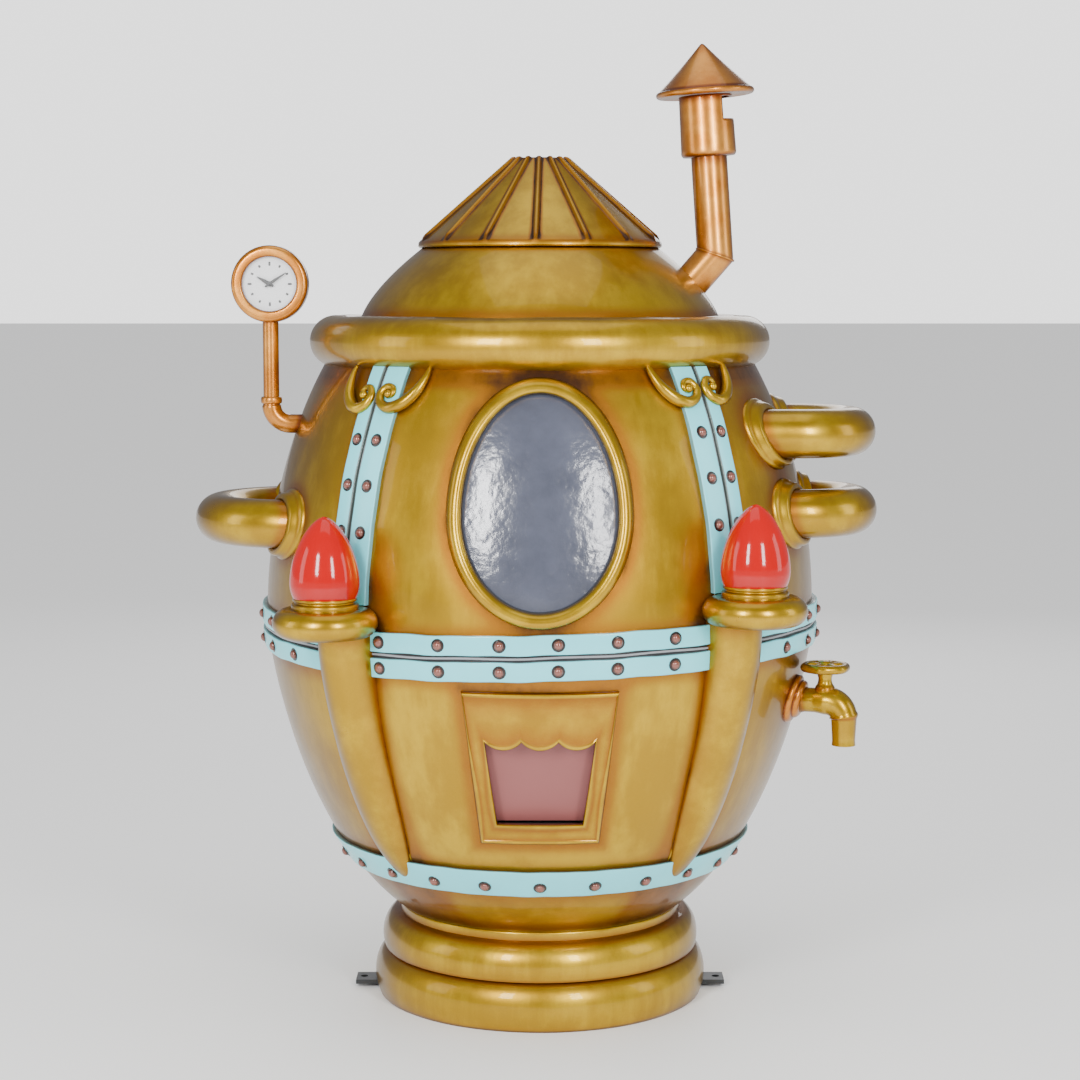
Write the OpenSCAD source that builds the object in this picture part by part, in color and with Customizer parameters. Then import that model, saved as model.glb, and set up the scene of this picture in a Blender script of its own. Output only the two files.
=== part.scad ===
// Boiler-shaped treat machine: a moulded egg body on a turned base, with a window, a delivery hatch,
// two lamps, three pipe loops, a tap, a clock and a chimney. Origin on the body's axis at the floor,
// front towards -Y, +Z up. Azimuths are counted from the front, positive towards +X.

/* [Body] */
// Radius of the body at its widest
body_r = 488; // [430:1:540]
// Height of the belt seam above the floor
seam_z = 679; // [620:1:740]
// Height of the widest ring above the belt seam
wide_up = 21; // [0:1:40]
// Half height of the ellipse that the upper body follows
upper_half_h = 702; // [650:1:800]
// Height over which the lower body would close to a point
lower_span = 579; // [540:1:620]
// Thickness of the moulded shells
shell_t = 6; // [4:0.5:8]
// Height of the neck, where the body meets its base
neck_z = 165; // [140:1:180]
// Height of the upper body's top edge
rim_z = 1140; // [1100:1:1160]

/* [Base] */
// Radius of the lower base bead
bead_low_r = 300; // [280:1:320]
// Radius of the upper base bead
bead_high_r = 286; // [275:1:300]
// Height of the upper bead's widest ring
bead_high_z = 104; // [98:1:112]
// Height of the groove between the base beads
groove_z = 82; // [70:1:95]
// Depth of that groove below the lower bead
groove_depth = 27; // [15:1:35]
// Length of the anchor bar
bar_len = 672; // [640:1:700]
// Width of the anchor bar
bar_w = 50; // [40:1:60]
// Thickness of the anchor bar
bar_t = 8; // [6:1:12]
// Radius of the anchor holes
anchor_hole_r = 7; // [5:0.5:8]
// Distance of an anchor hole from its end of the bar
anchor_edge = 14; // [11:1:20]

/* [Top] */
// Radius of the brim ring's section
brim_tube_r = 46; // [38:1:54]
// Radius of the circle that the brim's section runs along
brim_path_r = 362; // [345:1:375]
// Height of the brim's middle above the rim
brim_up = 36; // [30:1:42]
// Height of the dome's top edge
dome_top_z = 1340; // [1320:1:1360]
// Radius of the dome's top edge
dome_top_r = 209; // [190:1:225]
// Radius of the dome at the brim
dome_low_r = 322; // [318:1:326]
// Height of the cap's flat top
cap_top_z = 1497; // [1470:1:1530]
// Radius of the cap's flat top
cap_top_r = 45; // [30:1:60]
// Number of ribs on the cap
rib_count = 15; // [9:1:24]
// Radius of a rib
rib_r = 5; // [3:0.5:7]

/* [Strips] */
// How far the painted strips stand proud
strip_t = 9; // [5:0.5:12]
// Width of each belt strip
belt_w = 33; // [24:1:40]
// Gap between the two belt strips
belt_gap = 10; // [6:1:14]
// Azimuth of the seams between the front and rear upper shells
seam_az = 40.7; // [36:0.1:44]
// Width of a side strip next to the front panel
side_in_w = 44; // [36:1:50]
// Width of a side strip away from the front panel
side_out_w = 30; // [22:1:36]
// Gap between two side strips
side_gap = 6; // [4:1:10]
// Lower edge of the bottom strip
foot_strip_z = 251; // [240:1:262]
// Width of the bottom strip
foot_strip_w = 50; // [40:1:60]
// Radius of a rivet
rivet_r = 10; // [7:0.5:12]
// Height of a rivet
rivet_h = 7; // [5:0.5:9]

/* [Window and hatch] */
// Half width of the window bezel
window_r = 151; // [130:1:165]
// Height of the window bezel's widest line
window_z = 903; // [880:1:920]
// Height of the bezel above its widest line
window_up = 221; // [190:1:226]
// Height of the bezel below its widest line
window_down = 177; // [140:1:180]
// Width of the bezel
bezel_w = 24; // [18:1:30]
// Thickness of the window pane
pane_t = 4; // [3:0.5:6]
// Half width of the hatch opening's top
hatch_top_w = 90; // [75:1:100]
// Half width of the hatch opening's bottom
hatch_low_w = 70; // [55:1:78]
// Top of the hatch opening
hatch_top_z = 536; // [520:1:545]
// Bottom of the hatch opening
hatch_low_z = 392; // [380:1:410]
// How far the hatch frame stands proud
frame_t = 9; // [6:0.5:14]
// Radius of the flap's hinge pin
pin_r = 4; // [3:0.5:6]
// Clearance between a turning pin and its bore
run_fit = 0.06; // [0.02:0.01:0.1]
// Thickness of the flap
flap_t = 3; // [2:0.5:5]
// Depth of the hatch tray behind the flap
tray_depth = 190; // [175:1:210]

/* [Lamps] */
// Azimuth of the lamps and columns
lamp_az = 39.4; // [38:0.1:42]
// Radius from the body's axis to a lamp's axis
lamp_path_r = 550; // [546:1:565]
// Mean height of the lamp shelves
lamp_z = 738; // [730:1:748]
// How far the right shelf is above that height, and the left one below
lamp_rise = 10; // [0:1:10]
// Radius of a lamp shelf
shelf_r = 86; // [74:1:96]
// Thickness of a lamp shelf
shelf_t = 48; // [36:1:56]
// Largest radius of a lamp dome
lamp_r = 57; // [45:1:64]
// Height of a lamp dome
lamp_h = 133; // [110:1:150]
// Wall of a lamp dome
lamp_wall = 3; // [2:0.5:5]
// Half width of a column's top
column_w = 46; // [36:1:52]
// How far a column stands proud at its top
column_t = 62; // [40:1:70]
// How far a column stands proud at its tip
column_tip_t = 24; // [16:1:32]
// Height of a column's lower tip
column_low_z = 262; // [255:1:290]

/* [Pipes] */
// Radius of the loop pipes
loop_r = 42; // [34:1:48]
// Wall of the pipes
pipe_wall = 4; // [3:0.5:6]
// Bend radius of the left loop
bend_left = 150; // [120:1:165]
// Bend radius of the right loops
bend_right = 105; // [90:1:120]
// Distance from the body's axis to the left loop's end
reach_left = 610; // [590:1:640]
// Distance from the body's axis to the right loops' ends
reach_right = 587; // [575:1:610]
// Heights of the left, upper right and lower right loops
loop_z = [866, 1021, 884];
// Radius of the collars
collar_r = 55; // [50:1:62]
// Thickness of the collars
collar_t = 20; // [12:1:26]
// Azimuth of the tap
tap_az = 70; // [64:1:76]
// Height of the tap's pipe
tap_z = 557; // [540:1:575]
// Radius of the tap's pipe
tap_r = 23; // [18:1:27]
// Radius of the handwheel
wheel_r = 43; // [34:1:50]
// Radius of the tap's spindle
spindle_r = 6; // [4:0.5:8]

/* [Clock] */
// Azimuth of the clock's pipe
clock_az = -80; // [-86:1:-74]
// Radius from the body's axis to the clock's pipe
clock_path_r = 478; // [470:1:490]
// Height of the clock's middle
clock_z = 1276; // [1250:1:1300]
// Radius of the clock's case
clock_r = 67; // [56:1:76]
// Radius of the clock's dial
dial_r = 47; // [38:1:50]
// Depth of the clock's case
clock_depth = 40; // [32:1:50]
// Radius of the clock's pipe
clock_pipe_r = 14; // [10:1:17]
// Height at which the clock's pipe turns into the body
clock_bend_z = 1032; // [1020:1:1045]
// Radius of the hands' arbor
arbor_r = 2; // [1.5:0.25:3]

/* [Chimney] */
// Where the chimney's elbow is, across and up
elbow_x = 311; // [300:1:320]
// Height of the chimney's elbow
elbow_z = 1328; // [1315:1:1340]
// Angle of the stub above the floor's plane
stub_angle = 49; // [44:1:56]
// Lean of the chimney towards the body
lean = 4; // [0:0.5:7]
// Radius of the chimney's pipe
flue_r = 32; // [26:1:38]
// Length of the chimney's pipe up to its cowl
flue_len = 172; // [150:1:200]
// Radius of the cowl
cowl_r = 49; // [42:1:56]
// Height of the cowl
cowl_h = 106; // [90:1:120]
// Radius of the chimney's cap
hat_r = 87; // [75:1:96]
// Height of the chimney's cap
hat_h = 92; // [75:1:104]

/* [Mechanism] */
// Radius of the dosing rotor
rotor_r = 164; // [150:1:175]
// Height of the dosing rotor
rotor_h = 40; // [30:1:50]
// Radius of the circle of pockets in the rotor
pocket_path_r = 115; // [105:1:122]
// Radius of a pocket
pocket_r = 36; // [28:1:38]
// Radius of the rotor's shaft
shaft_r = 10; // [8:0.5:14]
// Gear module
gear_m = 3; // [2.5:0.5:3.5]
// Teeth of the rotor's gear
wheel_teeth = 40; // [36:4:44]
// Teeth of the motor's pinion
pinion_teeth = 16; // [12:4:20]
// Thickness of the inner deck
deck_t = 12; // [9:1:18]
// Half width of the service opening
door_w = 130; // [110:1:140]
// Bottom of the service opening
door_low_z = 790; // [780:1:800]
// Top of the service opening
door_top_z = 990; // [960:1:1000]
// How far the door laps over the opening's edge
door_lap = 20; // [15:1:24]

/* [Hidden] */
$fn = 64;
level_step = 24;              // spacing of the levels where the skin's rings meet
eps = 0.01;
big = 1200;
brim_z = rim_z + brim_up;
upper_mid_z = seam_z + wide_up;
belt_low_z = seam_z - belt_gap / 2 - belt_w;
belt_top_z = seam_z + belt_gap / 2 + belt_w;
foot_strip_top = foot_strip_z + foot_strip_w;
bar_z = 6;                    // underside of the anchor bar
bar_top = bar_z + bar_t;
foot_h = bar_z;               // height of the rubber feet
tube = 30;                    // square tube of the inner frame
post_at = 150;                // where the posts stand, across and along
deck_z = seam_z - deck_t - belt_gap / 2 - 8;   // underside of the inner deck
deck_top = deck_z + deck_t;
door_gap = 1;                 // between the door and the skin it laps
door_t = 5;
hinge_x = -(door_w + door_lap + 10);
hinge_z = (door_low_z + door_top_z) / 2;
hinge_r = 6;
knuckle = 24;                 // length of one hinge knuckle
gear_gap = 1;
seat = 0.3;                   // running gap where one body rests by another
scroll_az = [-44.4, -36.4, 36.4, 44.4];
scroll_z = 1099;
scroll_r = 13;
scroll_tube = 6;

gold = "goldenrod";
copper = "peru";
turquoise = "paleturquoise";
steel = "dimgray";

// ---- the skin: an ellipse above the seam, a flattened power curve below it ----
function skin_curve(z) = z >= seam_z
    ? body_r * sqrt(max(0.01, 1 - pow((z - upper_mid_z) / upper_half_h, 2)))
    : skin_curve(seam_z) * pow(max(0.01, 1 - pow((seam_z - z) / lower_span, 1.41)), 0.351);
// the skin as built, straight between its levels
function skin_r(z) = let (i = floor((z - seam_z) / level_step), low = seam_z + i * level_step,
    t = (z - low) / level_step) skin_curve(low) * (1 - t) + skin_curve(low + level_step) * t;
function levels(z0, z1) = let (first = ceil((z0 - seam_z) / level_step + eps),
    last = floor((z1 - seam_z) / level_step - eps))
    concat([z0], [for (i = [first:1:last]) seam_z + i * level_step], [z1]);
function flip(list) = [for (i = [len(list) - 1:-1:0]) list[i]];
function band_outline(z0, z1, inner, outer) = concat(
    [for (z = levels(z0, z1)) [skin_r(z) + outer, z]],
    [for (z = flip(levels(z0, z1))) [skin_r(z) + inner, z]]);
// how far forward or back the skin is at a place across and up
function skin_y(x, z) = sqrt(pow(skin_r(z), 2) - x * x);
// the skin's slope: how much its radius grows for each unit of height
function skin_slope(z) = (skin_r(z + 6) - skin_r(z - 6)) / 12;

// a ring between two heights that follows the skin between two offsets and two azimuths
module band(z0, z1, inner, outer, from = -180, to = 180) {
    rotate([0, 0, from - 90]) rotate_extrude(angle = to - from)
        polygon(band_outline(z0, z1, inner, outer));
}
// everything inside the skin
module body_solid(offset = 0, z0 = 100, z1 = 1140) {
    rotate_extrude() polygon(concat([[0, z0]], [for (z = levels(z0, z1)) [skin_r(z) + offset, z]], [[0, z1]]));
}
// the cone that touches the skin at one height, for seats that are cut to the skin
module seat_cone(z, offset = 0, half = 70) {
    translate([0, 0, z - half]) cylinder(r1 = skin_r(z) + offset - half * skin_slope(z),
        r2 = skin_r(z) + offset + half * skin_slope(z), h = 2 * half);
}
// puts a child at an azimuth, with -Y pointing outwards
module at_az(az) { rotate([0, 0, az]) children(); }

// ---- base ----
function half_ellipse(r, depth, z0, z1, n) = [for (i = [0:n])
    let (a = -90 + 180 * i / n) [r - depth + depth * cos(a), (z0 + z1) / 2 + (z1 - z0) / 2 * sin(a)]];
neck_r = skin_r(neck_z);
bead_high_h = 46;             // half height of the upper bead
base_profile = concat([[bead_low_r - 12, 0]],
    [for (p = half_ellipse(bead_low_r, groove_depth, -14, groove_z, 14)) if (p[1] > 2) p],
    [for (i = [0:12]) let (z = groove_z + 3 + (bead_high_z + bead_high_h - groove_z - 3) * i / 12)
        [neck_r + (bead_high_r - neck_r) * sqrt(max(0, 1 - pow((z - bead_high_z) / bead_high_h, 2))), z]]);
module base_section() {
    polygon(concat([[0, 0]], base_profile, [[neck_r, neck_z], [0, neck_z]]));
}
module base_shell() {
    color(gold) difference() {
        rotate_extrude() difference() {
            base_section();
            polygon([[0, -1], [bead_low_r - 34, -1], [bead_low_r - 34, groove_z - 16],
                [neck_r - 10, groove_z + 30], [neck_r - shell_t, neck_z + 1], [0, neck_z + 1]]);
        }
        translate([-big / 2, -bar_w / 2 - 2, -1]) cube([big, bar_w + 4, bar_top + 3]);
        inlet_cut(1);
    }
}
module anchor_bar() {
    color("black") difference() {
        translate([-bar_len / 2, -bar_w / 2, bar_z]) cube([bar_len, bar_w, bar_t]);
        for (side = [-1, 1]) translate([side * (bar_len / 2 - anchor_edge), 0, 0])
            cylinder(r = anchor_hole_r, h = big / 4);
    }
}
module base_feet() {
    color("dimgray") {
        for (x = [-1, 1], y = [-1, 1]) translate([x * post_at, y * post_at, 0])
            cylinder(r = 24, h = bar_top);
        cylinder(r = 24, h = bar_z);
    }
}
module base_frame() {
    ring = 2 * post_at + tube;
    color(steel) {
        difference() {
            translate([-ring / 2, -ring / 2, bar_top]) cube([ring, ring, tube]);
            translate([-ring / 2 + tube, -ring / 2 + tube, bar_top - 1])
                cube([ring - 2 * tube, ring - 2 * tube, tube - 3]);
        }
        for (x = [-1, 1], y = [-1, 1]) translate([x * post_at - tube / 2, y * post_at - tube / 2, bar_top])
            cube([tube, tube, deck_z - bar_top]);
        for (x = [-1, 1]) translate([x * post_at - tube / 2, -post_at, deck_z - tube])
            cube([tube, 2 * post_at, tube]);
    }
}
inlet_w = 50;
inlet_h = 28;
inlet_z = groove_z + 26;
inlet_y = sqrt(pow(bead_high_r, 2) - pow(inlet_w / 2 + 2, 2));
module inlet_cut(grow = 0) {
    translate([-inlet_w / 2 - grow, bead_high_r - 36, inlet_z - inlet_h / 2 - grow])
        cube([inlet_w + 2 * grow, 60, inlet_h + 2 * grow]);
}
module power_inlet() {
    color("black") difference() {
        union() {
            translate([-inlet_w / 2, bead_high_r - 30, inlet_z - inlet_h / 2]) cube([inlet_w, 32, inlet_h]);
            translate([-inlet_w / 2 - 6, inlet_y, inlet_z - inlet_h / 2 - 6])
                cube([inlet_w + 12, 3, inlet_h + 12]);
        }
        translate([-12, bead_high_r - 16, inlet_z - 8]) cube([24, 60, 16]);
    }
}
module control_unit() {
    floor_z = bar_top + tube;
    color("silver") {
        translate([-110, 20, floor_z]) cube([100, 90, 50]);
        translate([10, 20, floor_z]) cube([95, 95, 22]);
    }
}

// ---- shells ----
module lower_shell() {
    color(gold) difference() {
        union() {
            band(neck_z, seam_z, -shell_t, 0);
            rotate_extrude() polygon([[neck_r - 18, neck_z], [neck_r - shell_t + 1, neck_z],
                [skin_r(neck_z + shell_t) - shell_t + 1, neck_z + shell_t],
                [neck_r - 18, neck_z + shell_t]]);
        }
        hatch_cut();
    }
}
module front_panel() {
    color(gold) difference() {
        band(seam_z, rim_z, -shell_t, 0, -seam_az, seam_az);
        window_prism(bezel_w / 2);
    }
}
module rear_shell() {
    color(gold) difference() {
        band(seam_z, rim_z, -shell_t, 0, seam_az, 360 - seam_az);
        translate([-door_w, 0, door_low_z]) cube([2 * door_w, big, door_top_z - door_low_z]);
    }
}
module brim_ring() {
    color(gold) difference() {
        rotate_extrude() difference() {
            translate([brim_path_r, brim_z]) circle(r = brim_tube_r);
            translate([brim_path_r, brim_z]) circle(r = brim_tube_r - shell_t);
            translate([0, 0]) square([dome_low_r, big * 2]);
            square([brim_path_r + 8, brim_z]);
        }
        body_solid(0, 1000, rim_z);
    }
}
dome_low_z = brim_z + 24;
function dome_r(z) = let (t = (z - dome_low_z) / (dome_top_z - dome_low_z))
    dome_top_r + (dome_low_r - dome_top_r) * (1 - pow(max(0, t), 1.6));
dome_levels = [for (i = [0:8]) dome_low_z + (dome_top_z - dome_low_z) * i / 8];
module dome_solid() {
    rotate_extrude() polygon(concat([[0, rim_z], [dome_low_r, rim_z]],
        [for (z = dome_levels) [dome_r(z), z]], [[0, dome_top_z]]));
}
module dome_shell() {
    color(gold) rotate_extrude() polygon(concat(
        [[dome_low_r - shell_t, rim_z], [skin_r(rim_z) - 1, rim_z], [skin_r(rim_z) - 1, rim_z + shell_t],
            [dome_low_r, rim_z + shell_t]],
        [for (z = dome_levels) [dome_r(z), z]],
        [for (z = flip(dome_levels)) [dome_r(z) - shell_t, z]]));
}
cap_r = dome_top_r + 4;
lip_h = 12;
module cap_cone(proud) {
    rotate_extrude() polygon([[0, dome_top_z], [cap_r + proud, dome_top_z], [cap_r + proud, dome_top_z + lip_h],
        [cap_top_r + proud, cap_top_z + proud / 2], [0, cap_top_z + proud / 2]]);
}
module ribbed_cap() {
    color(gold) difference() {
        union() {
            cap_cone(0);
            intersection() {
                cap_cone(rib_r);
                for (i = [0:rib_count - 1]) rotate([0, 0, -92 + 360 * i / rib_count])
                    translate([cap_top_r - 4, -rib_r, dome_top_z + 3]) cube([big, 2 * rib_r, big]);
            }
        }
        rotate_extrude() polygon([[0, dome_top_z - 20], [cap_r - shell_t - 1, dome_top_z - 20],
            [cap_r - shell_t - 1, dome_top_z + lip_h - 3], [cap_top_r - 5, cap_top_z - shell_t - 2],
            [0, cap_top_z - shell_t - 2]]);
    }
}

// ---- strips and rivets ----
module column_prism(side, grow = 0) {
    z0 = column_low_z;
    z1 = lamp_z + side * lamp_rise - shelf_t / 2 + 12;
    tip = 12;
    at_az(side * lamp_az) rotate([90, 0, 0]) linear_extrude(big) union() {
        polygon([[-tip - grow, z0 + tip], [tip + grow, z0 + tip], [column_w + grow, z1], [-column_w - grow, z1]]);
        translate([0, z0 + tip]) circle(r = tip + grow);
    }
}
module belt_strip(z0) {
    color(turquoise) difference() {
        band(z0, z0 + belt_w, 0, strip_t);
        column_prism(-1);
        column_prism(1);
    }
}
module belt_strip_lower() { belt_strip(belt_low_z); }
module belt_strip_upper() { belt_strip(seam_z + belt_gap / 2); }
module bottom_strip() { color(turquoise) band(foot_strip_z, foot_strip_top, 0, strip_t); }
side_top_z = brim_z - sqrt(pow(brim_tube_r, 2) - pow(skin_r(rim_z) - brim_path_r, 2)) - 1;
module side_strip(side, from, to, z0) {
    intersection() {
        band(z0, side_top_z, 0, strip_t);
        at_az(side * seam_az) translate([min(-side * from, -side * to), -big, z0])
            cube([to - from, big, big]);
    }
}
function shelf_top(side) = lamp_z + side * lamp_rise + shelf_t / 2;
module side_strips() {
    color(turquoise) for (side = [-1, 1]) {
        side_strip(side, side_gap / 2, side_gap / 2 + side_in_w, shelf_top(side) + 1);
        side_strip(side, -side_gap / 2 - side_out_w, -side_gap / 2, shelf_top(side) + 1);
    }
}
// a rivet standing on the strips at an azimuth and a height
module rivet(az, z, across = 0) {
    at_az(az) translate([across, -sqrt(pow(skin_r(z) + strip_t, 2) - across * across), z])
        rotate([90 + atan(skin_slope(z)), 0, 0]) rotate_extrude($fn = 24) difference() {
            scale(1) translate([0, rivet_h - rivet_r]) circle(r = rivet_r);
            translate([-big, -big]) square([big, 2 * big]);
            translate([-1, -big]) square([big, big]);
        }
}
belt_front_az = [for (i = [0:5]) -2.2 + 11.6 * (i - 2.5)];
belt_rear_az = [for (i = [0:21]) 57.5 + 245 * i / 21];
side_rivet_z = [1026, 952, 876];
module strip_rivets() {
    color("sienna") {
        for (az = concat(belt_front_az, belt_rear_az), z = [belt_low_z + belt_w / 2, belt_top_z - belt_w / 2])
            rivet(az, z);
        for (i = [0:23]) if (abs(abs(180 - i * 15) - (180 - lamp_az)) > 4) rivet(i * 15, foot_strip_z + 18);
        for (side = [-1, 1], z = side_rivet_z) {
            rivet(side * seam_az, z, -side * (side_gap / 2 + side_in_w / 2));
            rivet(side * seam_az, z, side * (side_gap / 2 + side_out_w / 2));
        }
    }
}
module curl(az, out) {
    at_az(az) translate([0, -skin_r(scroll_z) - strip_t - scroll_tube + 0.3, scroll_z])
        rotate([90 + atan(skin_slope(scroll_z)), 0, 0]) {
            rotate([0, 0, out > 0 ? -150 : -90]) rotate_extrude(angle = 240)
                translate([scroll_r - scroll_tube / 2, 0]) circle(r = scroll_tube, $fn = 24);
            sphere(r = scroll_tube + 2, $fn = 24);
        }
}
module scroll_ornaments() {
    color(gold) for (i = [0:3]) curl(scroll_az[i], i % 2);
}

// ---- window ----
module window_prism(inset = 0, n = 48) {
    rotate([90, 0, 0]) linear_extrude(big) polygon([for (i = [0:n - 1]) let (a = 360 * i / n,
        h = sin(a) > 0 ? window_up : window_down)
        [(window_r - inset) * cos(a), window_z + (h - inset) * sin(a)]]);
}
module window_band(inner, outer, inset, hole) {
    difference() {
        intersection() {
            band(window_z - window_down - 2, window_z + window_up + 2, inner, outer, -seam_az, seam_az);
            window_prism(inset);
        }
        if (hole > 0) window_prism(hole);
    }
}
module window_bezel() { color(gold) window_band(0, 13, 0, bezel_w); }
module window_gasket() { color("black") window_band(-shell_t, 0, bezel_w / 2, bezel_w); }
module window_pane() { color("slategray") window_band(-shell_t - pane_t, -shell_t, bezel_w / 4, 0); }

// ---- hatch ----
hatch_scallop = 12;
module hatch_prism(grow = 0) {
    rotate([90, 0, 0]) linear_extrude(big) difference() {
        polygon([[-hatch_low_w - grow, hatch_low_z - grow], [hatch_low_w + grow, hatch_low_z - grow],
            [hatch_top_w + grow, hatch_top_z + grow], [-hatch_top_w - grow, hatch_top_z + grow]]);
        for (x = [-60, 0, 60]) translate([x, hatch_top_z + grow + 27]) circle(r = 27 + hatch_scallop);
    }
}
module hatch_cut() { hatch_prism(2); }
module hatch_frame() {
    color(gold) difference() {
        intersection() {
            band(hatch_low_z - 38, hatch_top_z + 86, 0, frame_t, -30, 30);
            rotate([90, 0, 0]) linear_extrude(big) polygon([[-98, hatch_low_z - 38], [98, hatch_low_z - 38],
                [128, hatch_top_z + 86], [-128, hatch_top_z + 86]]);
        }
        hatch_prism(0);
    }
}
// the flap leans with the skin, a set depth behind it
flap_set = shell_t + 18;
pivot_z = hatch_top_z + 22;
pivot_y = -(skin_r(pivot_z) - flap_set);
flap_low_z = hatch_low_z + 4;
flap_low_y = -(skin_r(flap_low_z) - flap_set - 4);
flap_lean = atan2(flap_low_y - pivot_y, pivot_z - flap_low_z);
flap_len = (pivot_z - flap_low_z) / cos(flap_lean);
flap_w = hatch_top_w + 6;
tray_w = hatch_top_w + 14;
tray_wall = 3;
tray_z = hatch_low_z - 8;
tray_top = pivot_z + 14;
tray_back = pivot_y + 46 + tray_depth;
module flap_pin() {
    color("silver") translate([-tray_w - tray_wall, pivot_y, pivot_z]) rotate([0, 90, 0])
        cylinder(r = pin_r, h = 2 * (tray_w + tray_wall));
}
module delivery_flap() {
    color("rosybrown") translate([0, pivot_y, pivot_z]) rotate([flap_lean, 0, 0]) difference() {
        union() {
            rotate([90, 0, 90]) translate([0, 0, -flap_w]) cylinder(r = pin_r + 2.5, h = 2 * flap_w);
            translate([0, -pin_r - 2.5, 0]) rotate([0, 90, 90]) linear_extrude(flap_t)
                polygon([[0, -flap_w], [0, flap_w], [flap_len, flap_w * 0.85], [flap_len, -flap_w * 0.85]]);
        }
        rotate([90, 0, 90]) translate([0, 0, -flap_w - 1]) cylinder(r = pin_r + run_fit, h = 2 * flap_w + 2);
    }
}
module hatch_tray() {
    color(steel) difference() {
        union() {
            difference() {
                translate([-tray_w - tray_wall, -big, tray_z - tray_wall])
                    cube([2 * (tray_w + tray_wall), big + tray_back, tray_top - tray_z + tray_wall]);
                translate([-tray_w, -2 * big, tray_z])
                    cube([2 * tray_w, 2 * big + tray_back - tray_wall, 2 * big]);
            }
        }
        difference() {
            translate([-big, -2 * big, 0]) cube([2 * big, 2 * big, big]);
            body_solid(-shell_t - 0.2);
        }
        translate([-big, pivot_y, pivot_z]) rotate([0, 90, 0]) cylinder(r = pin_r, h = 2 * big);
    }
}

// ---- lamps ----
module lamp_place(side) {
    at_az(side * lamp_az) translate([0, -lamp_path_r, lamp_z + side * lamp_rise]) children();
}
// a column's outline: its tip is low on the skin and its top stands proud under the shelf
function column_outline(z0, z1) = concat(
    [for (z = levels(z0, z1)) [skin_r(z) + column_tip_t + (column_t - column_tip_t) * (z - z0) / (z1 - z0), z]],
    [for (z = flip(levels(z0, z1))) [skin_r(z), z]]);
module column(side) {
    color(gold) difference() {
        intersection() {
            at_az(side * lamp_az - 105) rotate_extrude(angle = 30)
                polygon(column_outline(column_low_z - 2, lamp_z + side * lamp_rise - shelf_t / 2));
            column_prism(side);
        }
        band(foot_strip_z, foot_strip_top, -1, strip_t);
    }
}
module column_left() { column(-1); }
module column_right() { column(1); }
module lamp_shelf(side) {
    color(gold) difference() {
        lamp_place(side) rotate_extrude() {
            polygon(concat([[0, -shelf_t / 2]], [for (a = [-90:15:90])
                [shelf_r - shelf_t / 2 + shelf_t / 2 * cos(a), shelf_t / 2 * sin(a)]], [[0, shelf_t / 2]]));
        }
        translate([0, 0, belt_low_z]) cylinder(r = body_r, h = big);
        translate([0, 0, belt_low_z]) cylinder(r = body_r + strip_t, h = belt_top_z - belt_low_z);
    }
}
module lamp_shelf_left() { lamp_shelf(-1); }
module lamp_shelf_right() { lamp_shelf(1); }
collar_h = 16;
lamp_base_r = lamp_r * 0.9;
module lamp_collars() {
    color(gold) for (side = [-1, 1]) lamp_place(side) translate([0, 0, shelf_t / 2]) difference() {
        union() {
            cylinder(r = lamp_base_r + 1, h = collar_h);
            cylinder(r = lamp_base_r - 9, h = collar_h + 5);
        }
        translate([0, 0, 4]) cylinder(r = 20, h = big);
    }
}
function egg_r(t) = t < 0.19 ? 1 - 0.1 * pow(1 - t / 0.19, 2)
    : pow(max(0, 1 - pow((t - 0.19) / 0.81, 1.8)), 0.64);
module egg(r, h, low = 0) {
    rotate_extrude() polygon(concat([[0, low]], [for (i = [0:20]) let (t = i / 20) [r * egg_r(t), low + (h - low) * t]]));
}
module lamp_dome(side) {
    color("red") lamp_place(side) translate([0, 0, shelf_t / 2 + collar_h]) difference() {
        egg(lamp_r, lamp_h);
        translate([0, 0, -eps]) egg(lamp_r - lamp_wall, lamp_h - 2 * lamp_wall);
    }
}
module lamp_dome_left() { lamp_dome(-1); }
module lamp_dome_right() { lamp_dome(1); }
module lamp_bulbs() {
    color("ivory") for (side = [-1, 1]) lamp_place(side) translate([0, 0, shelf_t / 2 + 4]) {
        cylinder(r = 13, h = 40);
        translate([0, 0, 52]) sphere(r = 22);
    }
}

// ---- pipe loops ----
lower_reach = 4;              // how much further out the lower right loop reaches
loop_front = 195;             // how far in front of the body's axis the loops' front legs are
module loop_tube(side, r, z, bend, reach) {
    mid_x = reach - loop_r - bend;
    mid_y = bend - loop_front;
    translate([side * mid_x, mid_y, z]) {
        rotate([0, 0, side < 0 ? 90 : -90]) rotate_extrude(angle = 180) translate([bend, 0]) circle(r = r);
        for (y = [-bend, bend]) translate([-side * (mid_x - 200), y, 0]) rotate([0, side * 90, 0])
            cylinder(r = r, h = mid_x - 200);
    }
}
module loop(side, z, bend, reach) {
    color(gold) difference() {
        loop_tube(side, loop_r, z, bend, reach);
        loop_tube(side, loop_r - pipe_wall, z, bend, reach);
        seat_cone(z);
    }
}
module pipe_loop_left() { loop(-1, loop_z[0], bend_left, reach_left); }
module pipe_loop_upper() { loop(1, loop_z[1], bend_right, reach_right); }
module pipe_loop_lower() { loop(1, loop_z[2], bend_right, reach_right + lower_reach); }
module loop_collar(side, z, bend, reach) {
    difference() {
        intersection() {
            band(z - 70, z + 70, 0, collar_t);
            loop_tube(side, collar_r, z, bend, reach);
        }
        loop_tube(side, loop_r, z, bend, reach);
    }
}
module loop_collars() {
    color(gold) {
        loop_collar(-1, loop_z[0], bend_left, reach_left);
        loop_collar(1, loop_z[1], bend_right, reach_right);
        loop_collar(1, loop_z[2], bend_right, reach_right + lower_reach);
    }
}

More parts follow.
